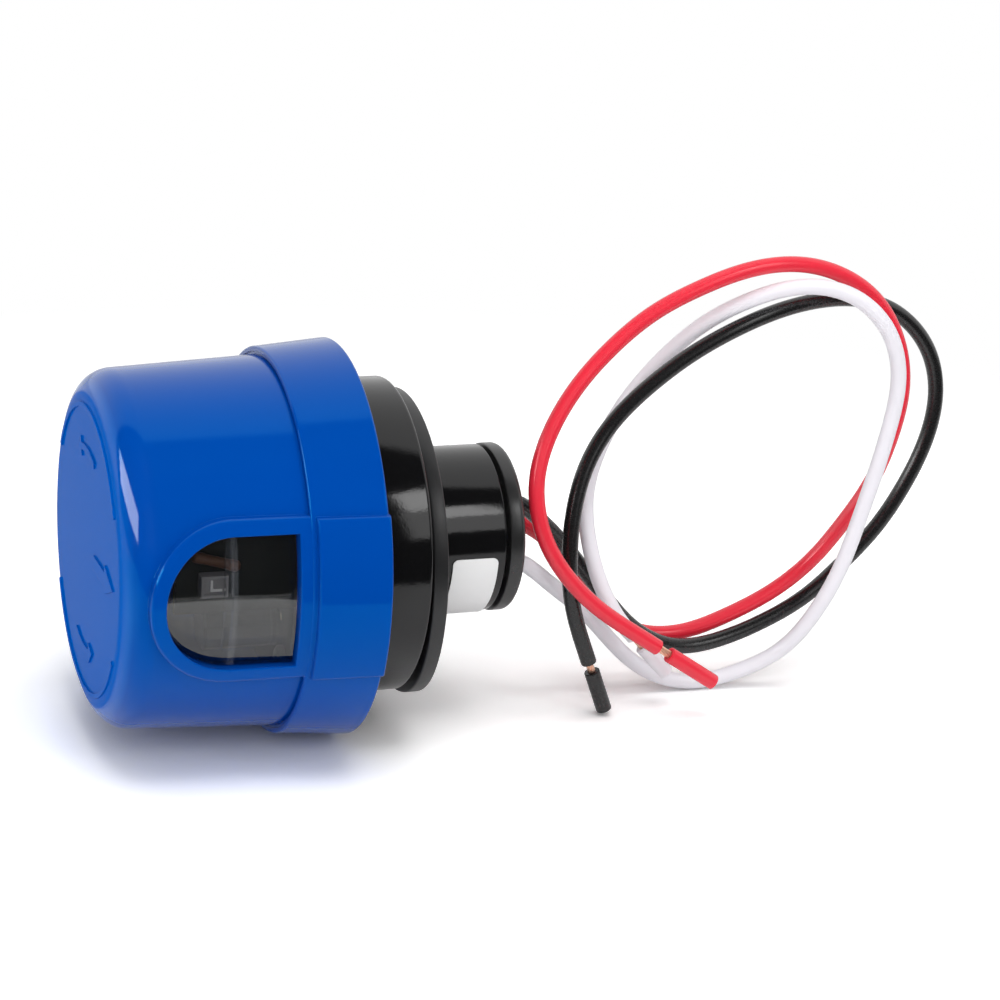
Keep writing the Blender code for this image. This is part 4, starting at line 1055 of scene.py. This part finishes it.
def make_sensor():
    """The light sensor behind the window: a clear package with a raised rim, and a pale metal frame
    whose near-white colour is partly its own and partly a painted glint.
    """
    back = SENSOR_BOARD_Y - GAP
    front = back - SENSOR_DEPTH
    x0, x1 = SENSOR_X
    z0, z1 = SENSOR_Z
    rim = SENSOR_RIM
    floor = front + rim
    hollow = box((x0 + rim, x1 - rim), (front - rim, floor), (z0 + rim, z1 - rim))
    body = joined(
        "sensor_package", box(SENSOR_X, (front, back), SENSOR_Z), [("DIFFERENCE", hollow)]
    )
    edge = body.modifiers.new("edges", "BEVEL")
    edge.width = SENSOR_EDGE
    edge.segments = 2
    dressed(body, "photocontrol", ["light_sensor"], SENSOR)
    left, right = x0 + BRIGHT_X[0], x1 - BRIGHT_X[1]
    low, high = z0 + BRIGHT_Z[0], z1 - BRIGHT_Z[1]
    upright = box((left, left + BRIGHT_BAR), (floor - BRIGHT_RISE[0], floor), (low, high))
    foot = box((left, right), (floor - BRIGHT_RISE[1], floor), (low, low + BRIGHT_BAR))
    # Pale metal frame, coloured near-white as a painted glint.
    frame_piece = joined("sensor_frame", upright, [("UNION", foot)])
    dressed(frame_piece, "photocontrol", [], FRAME_GLINT_WHITE)


def dress_nodes():
    """Finishes for the solids that are shown as they are, all of them inside."""
    finishes = {
        "circuit_board": BOARD,
        "sensor_board": BOARD,
        "sensor_resistor": TAN,
        "power_resistor": TAN,
        "relay": COMPONENT,
        "film_capacitor": YELLOW,
        "electrolytic_capacitor": SLEEVE,
        "varistor": DISC,
        "receptacle_face": BLACK,
    }
    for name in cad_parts:
        if name.startswith(("blade_", "contact_")):
            finishes[name] = BRASS
        if name.startswith(("board_screw_", "face_screw_")):
            finishes[name] = STEEL
    for name, finish in finishes.items():
        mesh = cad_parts[name].data
        mesh.materials.clear()
        mesh.materials.append(finish)


# Leads


def smooth_curve(points, direction, step):
    """Points a step apart on the cubic spline through these, leaving the first in a direction."""
    through = np.array(points)
    spans = np.linalg.norm(np.diff(through, axis=0), axis=1)
    slopes = np.diff(through, axis=0) / spans[:, None]
    count = len(through)
    system = np.zeros((count, count))
    target = np.zeros((count, 3))
    system[0, 0] = 1.0
    target[0] = direction
    for i in range(1, count - 1):
        before, after = spans[i - 1], spans[i]
        system[i, i - 1 : i + 2] = after, 2 * (before + after), before
        target[i] = 3 * (after * slopes[i - 1] + before * slopes[i])
    system[-1, -2:] = 1.0, 2.0
    target[-1] = 3 * slopes[-1]
    tangents = np.linalg.solve(system, target)
    ends = np.concatenate([[0.0], np.cumsum(spans)])
    curve = []
    for at in np.linspace(0.0, ends[-1], max(2, round(ends[-1] / step) + 1)):
        i = min(int(np.searchsorted(ends, at, side="right")) - 1, count - 2)
        t = (at - ends[i]) / spans[i]
        curve.append(
            (1 + 2 * t) * (1 - t) ** 2 * through[i]
            + t * t * (3 - 2 * t) * through[i + 1]
            + t * (1 - t) ** 2 * spans[i] * tangents[i]
            - t * t * (1 - t) * spans[i] * tangents[i + 1]
        )
    return [Vector(point) for point in curve]


def aimed(shape, start, direction):
    """Turns a shape made along x to a direction and moves it to a start."""
    turn = Vector((1.0, 0.0, 0.0)).rotation_difference(direction).to_matrix()
    bmesh.ops.rotate(shape, verts=shape.verts, matrix=turn)
    bmesh.ops.translate(shape, verts=shape.verts, vec=start)
    return shape


def slug_shape(length):
    """The insulation pushed along the bare end: a short tube with cut faces and a ragged hole."""
    outline = rounded(
        [
            (0.0, SLUG_BORE_R, 0.0),
            (0.0, LEAD_R, SLUG_ROUND),
            (length, LEAD_R, SLUG_ROUND),
            (length, SLUG_HOLE_R, 0.0),
            (length * SLUG_NECK[0], SLUG_HOLE_R, 0.0),
            (length * SLUG_NECK[1], SLUG_BORE_R, 0.0),
        ]
    )
    shape = turned(outline, SMALL_STEPS)
    for vertex in shape.verts:
        radius = math.hypot(vertex.co.y, vertex.co.z)
        if radius < SLUG_HOLE_R * 1.02:
            turn = math.atan2(vertex.co.z, vertex.co.y)
            ragged = 1.0 + 0.16 * math.cos(5 * turn + 0.7) + 0.08 * math.cos(3 * turn)
            vertex.co.y *= ragged
            vertex.co.z *= ragged
    return shape


def strand_bundle(length):
    """Fine copper wires twisted about x, one in the middle and the rest round it."""
    wires = []
    sides = 8
    steps = 14
    spokes = [math.tau * side / sides for side in range(sides)]
    for number in range(STRANDS + 1):
        ring, thick = (0.0, CORE_R) if number == STRANDS else (STRAND_RING_R, STRAND_R)
        rings = []
        for step in range(steps + 1):
            x = length * step / steps
            turn = math.tau * (number / STRANDS + STRAND_TURNS_PER_M * x)
            y = ring * math.cos(turn)
            z = ring * math.sin(turn)
            rings.append([(x, y + thick * math.cos(a), z + thick * math.sin(a)) for a in spokes])
        wires.append(lofted(rings))
    return together(wires)


def make_lead(colour, lead):
    y, z = centre_at(LEAD_AT_R, lead["angle"])
    leaving = Vector((COLLAR_END, y, z))
    free = smooth_curve([leaving] + list(lead["route"]), (1.0, 0.0, 0.0), LEAD_STEP)
    count = 12
    hidden = [
        Vector((LEAD_INSIDE + (COLLAR_END - LEAD_INSIDE) * step / count, y, z))
        for step in range(count)
    ]
    points = [point + AXIS for point in hidden + free]
    curve = bpy.data.curves.new(f"{colour}_lead", "CURVE")
    curve.dimensions = "3D"
    curve.bevel_depth = LEAD_R
    curve.bevel_resolution = 8
    curve.use_fill_caps = True
    spline = curve.splines.new("POLY")
    spline.points.add(len(points) - 1)
    for target, point in zip(spline.points, points):
        target.co = (*point, 1.0)
        target.radius = 1.0
    spline.use_smooth = True
    curve.materials.append(INSULATION[colour])
    cord = added(f"{colour}_lead", curve)
    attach(cord, "receptacle")
    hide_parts(f"lead_{colour}")
    end = free[-1]
    direction = (Vector(lead["route"][-1]) - Vector(lead["route"][-2])).normalized()
    start = end + direction * lead["bared"]
    slug = raw(f"{colour}_slug", aimed(slug_shape(lead["slug"]), start, direction))
    dressed(slug, "receptacle", [f"slug_{colour}"], INSULATION[colour])
    bundle = strand_bundle(lead["bared"] + 2 * STRAND_COVER)
    copper = raw(f"{colour}_copper", aimed(bundle, end - direction * STRAND_COVER, direction))
    dressed(copper, "receptacle", [f"strands_{colour}"], COPPER)


# Camera, stage and light


def make_camera():
    data = bpy.data.cameras.new("camera")
    data.lens = LENS_MM
    data.sensor_width = FILM_MM
    data.clip_start = 0.01
    data.clip_end = 50.0
    camera = added("camera", data)
    back = -CAMERA_FORWARD.normalized()
    up = back.cross(CAMERA_RIGHT).normalized()
    right = up.cross(back)
    turn = Matrix((right, up, back)).transposed().to_4x4()
    camera.matrix_world = Matrix.Translation(AXIS + CAMERA_AT) @ turn
    bpy.context.scene.camera = camera


def make_world():
    """White for the camera, even light on matt faces, and a studio half dark for reflections."""
    world = bpy.data.worlds.new("studio")
    bpy.context.scene.world = world
    world.use_nodes = True
    tree = world.node_tree
    tree.nodes.clear()
    rays = wired(tree, "ShaderNodeLightPath").outputs
    direction = wired(tree, "ShaderNodeTexCoord").outputs["Generated"]
    inputs = {0: direction, 1: STUDIO_PLANE}
    lean = wired(tree, "ShaderNodeVectorMath", inputs, operation="DOT_PRODUCT").outputs["Value"]
    behind = ranged(tree, lean, *STUDIO_SOFT, STUDIO_DARK, 1.0)
    clear = maths(tree, "MAXIMUM", rays["Is Glossy Ray"], rays["Is Transmission Ray"])
    ambient, studio, white = (
        white_light(tree, "ShaderNodeBackground", strength)
        for strength in (STUDIO_AMBIENT, behind, 1.0)
    )
    seen = blended(tree, clear, ambient, studio)
    final = blended(tree, rays["Is Camera Ray"], seen, white)
    wired(tree, "ShaderNodeOutputWorld", {"Surface": final})


def make_floor():
    """A glossy white sheet, with its front edge in reflections and its own white for the camera,
    darkened by painted contact shade close to the part.
    """
    made, tree, shader = material("white_sheet")
    values = {"Base Color": FLOOR_WHITE, "Roughness": 0.30, "Specular IOR Level": 0.4}
    for key, value in values.items():
        feed(tree, shader.inputs[key], value)
    sheet = shader.outputs[0]
    rays = wired(tree, "ShaderNodeLightPath").outputs
    place = wired(tree, "ShaderNodeNewGeometry").outputs["Position"]
    parts = split(tree, place)
    lean = maths(tree, "MULTIPLY", parts["X"], FLOOR_EDGE_SLOPE)
    past = maths(tree, "SUBTRACT", parts["Y"], lean)
    low, high = FLOOR_EDGE_Y - FLOOR_EDGE_SOFT, FLOOR_EDGE_Y + FLOOR_EDGE_SOFT
    near = ranged(tree, past, low, high)
    dark = white_light(tree, "ShaderNodeEmission", STUDIO_DARK)
    mirrored = blended(tree, near, dark, sheet)
    body = blended(tree, rays["Is Glossy Ray"], sheet, mirrored)
    # Painted contact shade: the camera's white is darkened where the part closes the sheet in.
    closed = wired(tree, "ShaderNodeAmbientOcclusion", {"Distance": FLOOR_PAINTED_SHADE_REACH}, samples=8)
    painted_shade_level = FLOOR_PAINTED_SHADE_SHARE * FLOOR_GAIN
    white = ranged(tree, closed.outputs["AO"], *FLOOR_OPEN, painted_shade_level, FLOOR_GAIN)
    lit = wired(tree, "ShaderNodeBsdfDiffuse", {"Color": white}).outputs[0]
    plain = white_light(tree, "ShaderNodeEmission", 1.0)
    inputs = {0: place, 1: (*FLOOR_MIDDLE, 0.0)}
    away = wired(tree, "ShaderNodeVectorMath", inputs, operation="DISTANCE").outputs["Value"]
    seen = blended(tree, ranged(tree, away, *FLOOR_FADE), lit, plain)
    final = blended(tree, rays["Is Camera Ray"], body, seen)
    feed(tree, tree.nodes["Material Output"].inputs["Surface"], final)
    shape = bmesh.new()
    corners = ((-1, -1), (1, -1), (1, 1), (-1, 1))
    shape.faces.new([shape.verts.new((x * FLOOR_HALF, y * FLOOR_HALF, 0.0)) for x, y in corners])
    floor = raw("floor", shape)
    floor.data.materials.append(made)


def softbox(name, direction, distance, wide, tall, radiance):
    """A rectangular lamp at a distance in a direction from the part, facing it."""
    data = bpy.data.lights.new(name, "AREA")
    data.shape = "RECTANGLE"
    data.size = wide
    data.size_y = tall
    data.energy = radiance * math.pi * wide * tall
    lamp = added(name, data)
    away = Vector(direction).normalized()
    lamp.location = AXIS + away * distance
    lamp.rotation_mode = "QUATERNION"
    lamp.rotation_quaternion = away.to_track_quat("Z", "Y")
    lamp.visible_camera = False
    return lamp


def make_lights():
    softbox("front_box", (0.3725, -0.7005, 0.6088), 2.6, 0.61, 0.59, 4.9)
    softbox("front_low", (0.4224, -0.8290, 0.3665), 2.6, 0.74, 0.86, 1.6)
    left_box = softbox("left_box", (-0.922, -0.097, 0.375), 1.2, 1.12, 0.38, 7.0)
    left_box.visible_diffuse = False
    for fill in (
        softbox("left_fill", (-0.93, -0.30, 0.22), 1.2, 0.22, 0.80, 6.0),
        softbox("top_fill", (0.05, -0.20, 1.00), 1.6, 1.00, 1.00, 3.7),
        softbox("front_fill", (-0.25, -1.00, 0.55), 1.6, 1.00, 0.80, 2.8),
    ):
        fill.visible_glossy = False


bpy.context.scene.view_settings.view_transform = "Standard"
make_cap()
make_lens()
make_receptacle()
make_washer()
make_end()
make_label()
make_base()
make_sensor()
dress_nodes()
for insulation, facts in LEADS.items():
    make_lead(insulation, facts)
make_camera()
make_world()
make_floor()
make_lights()
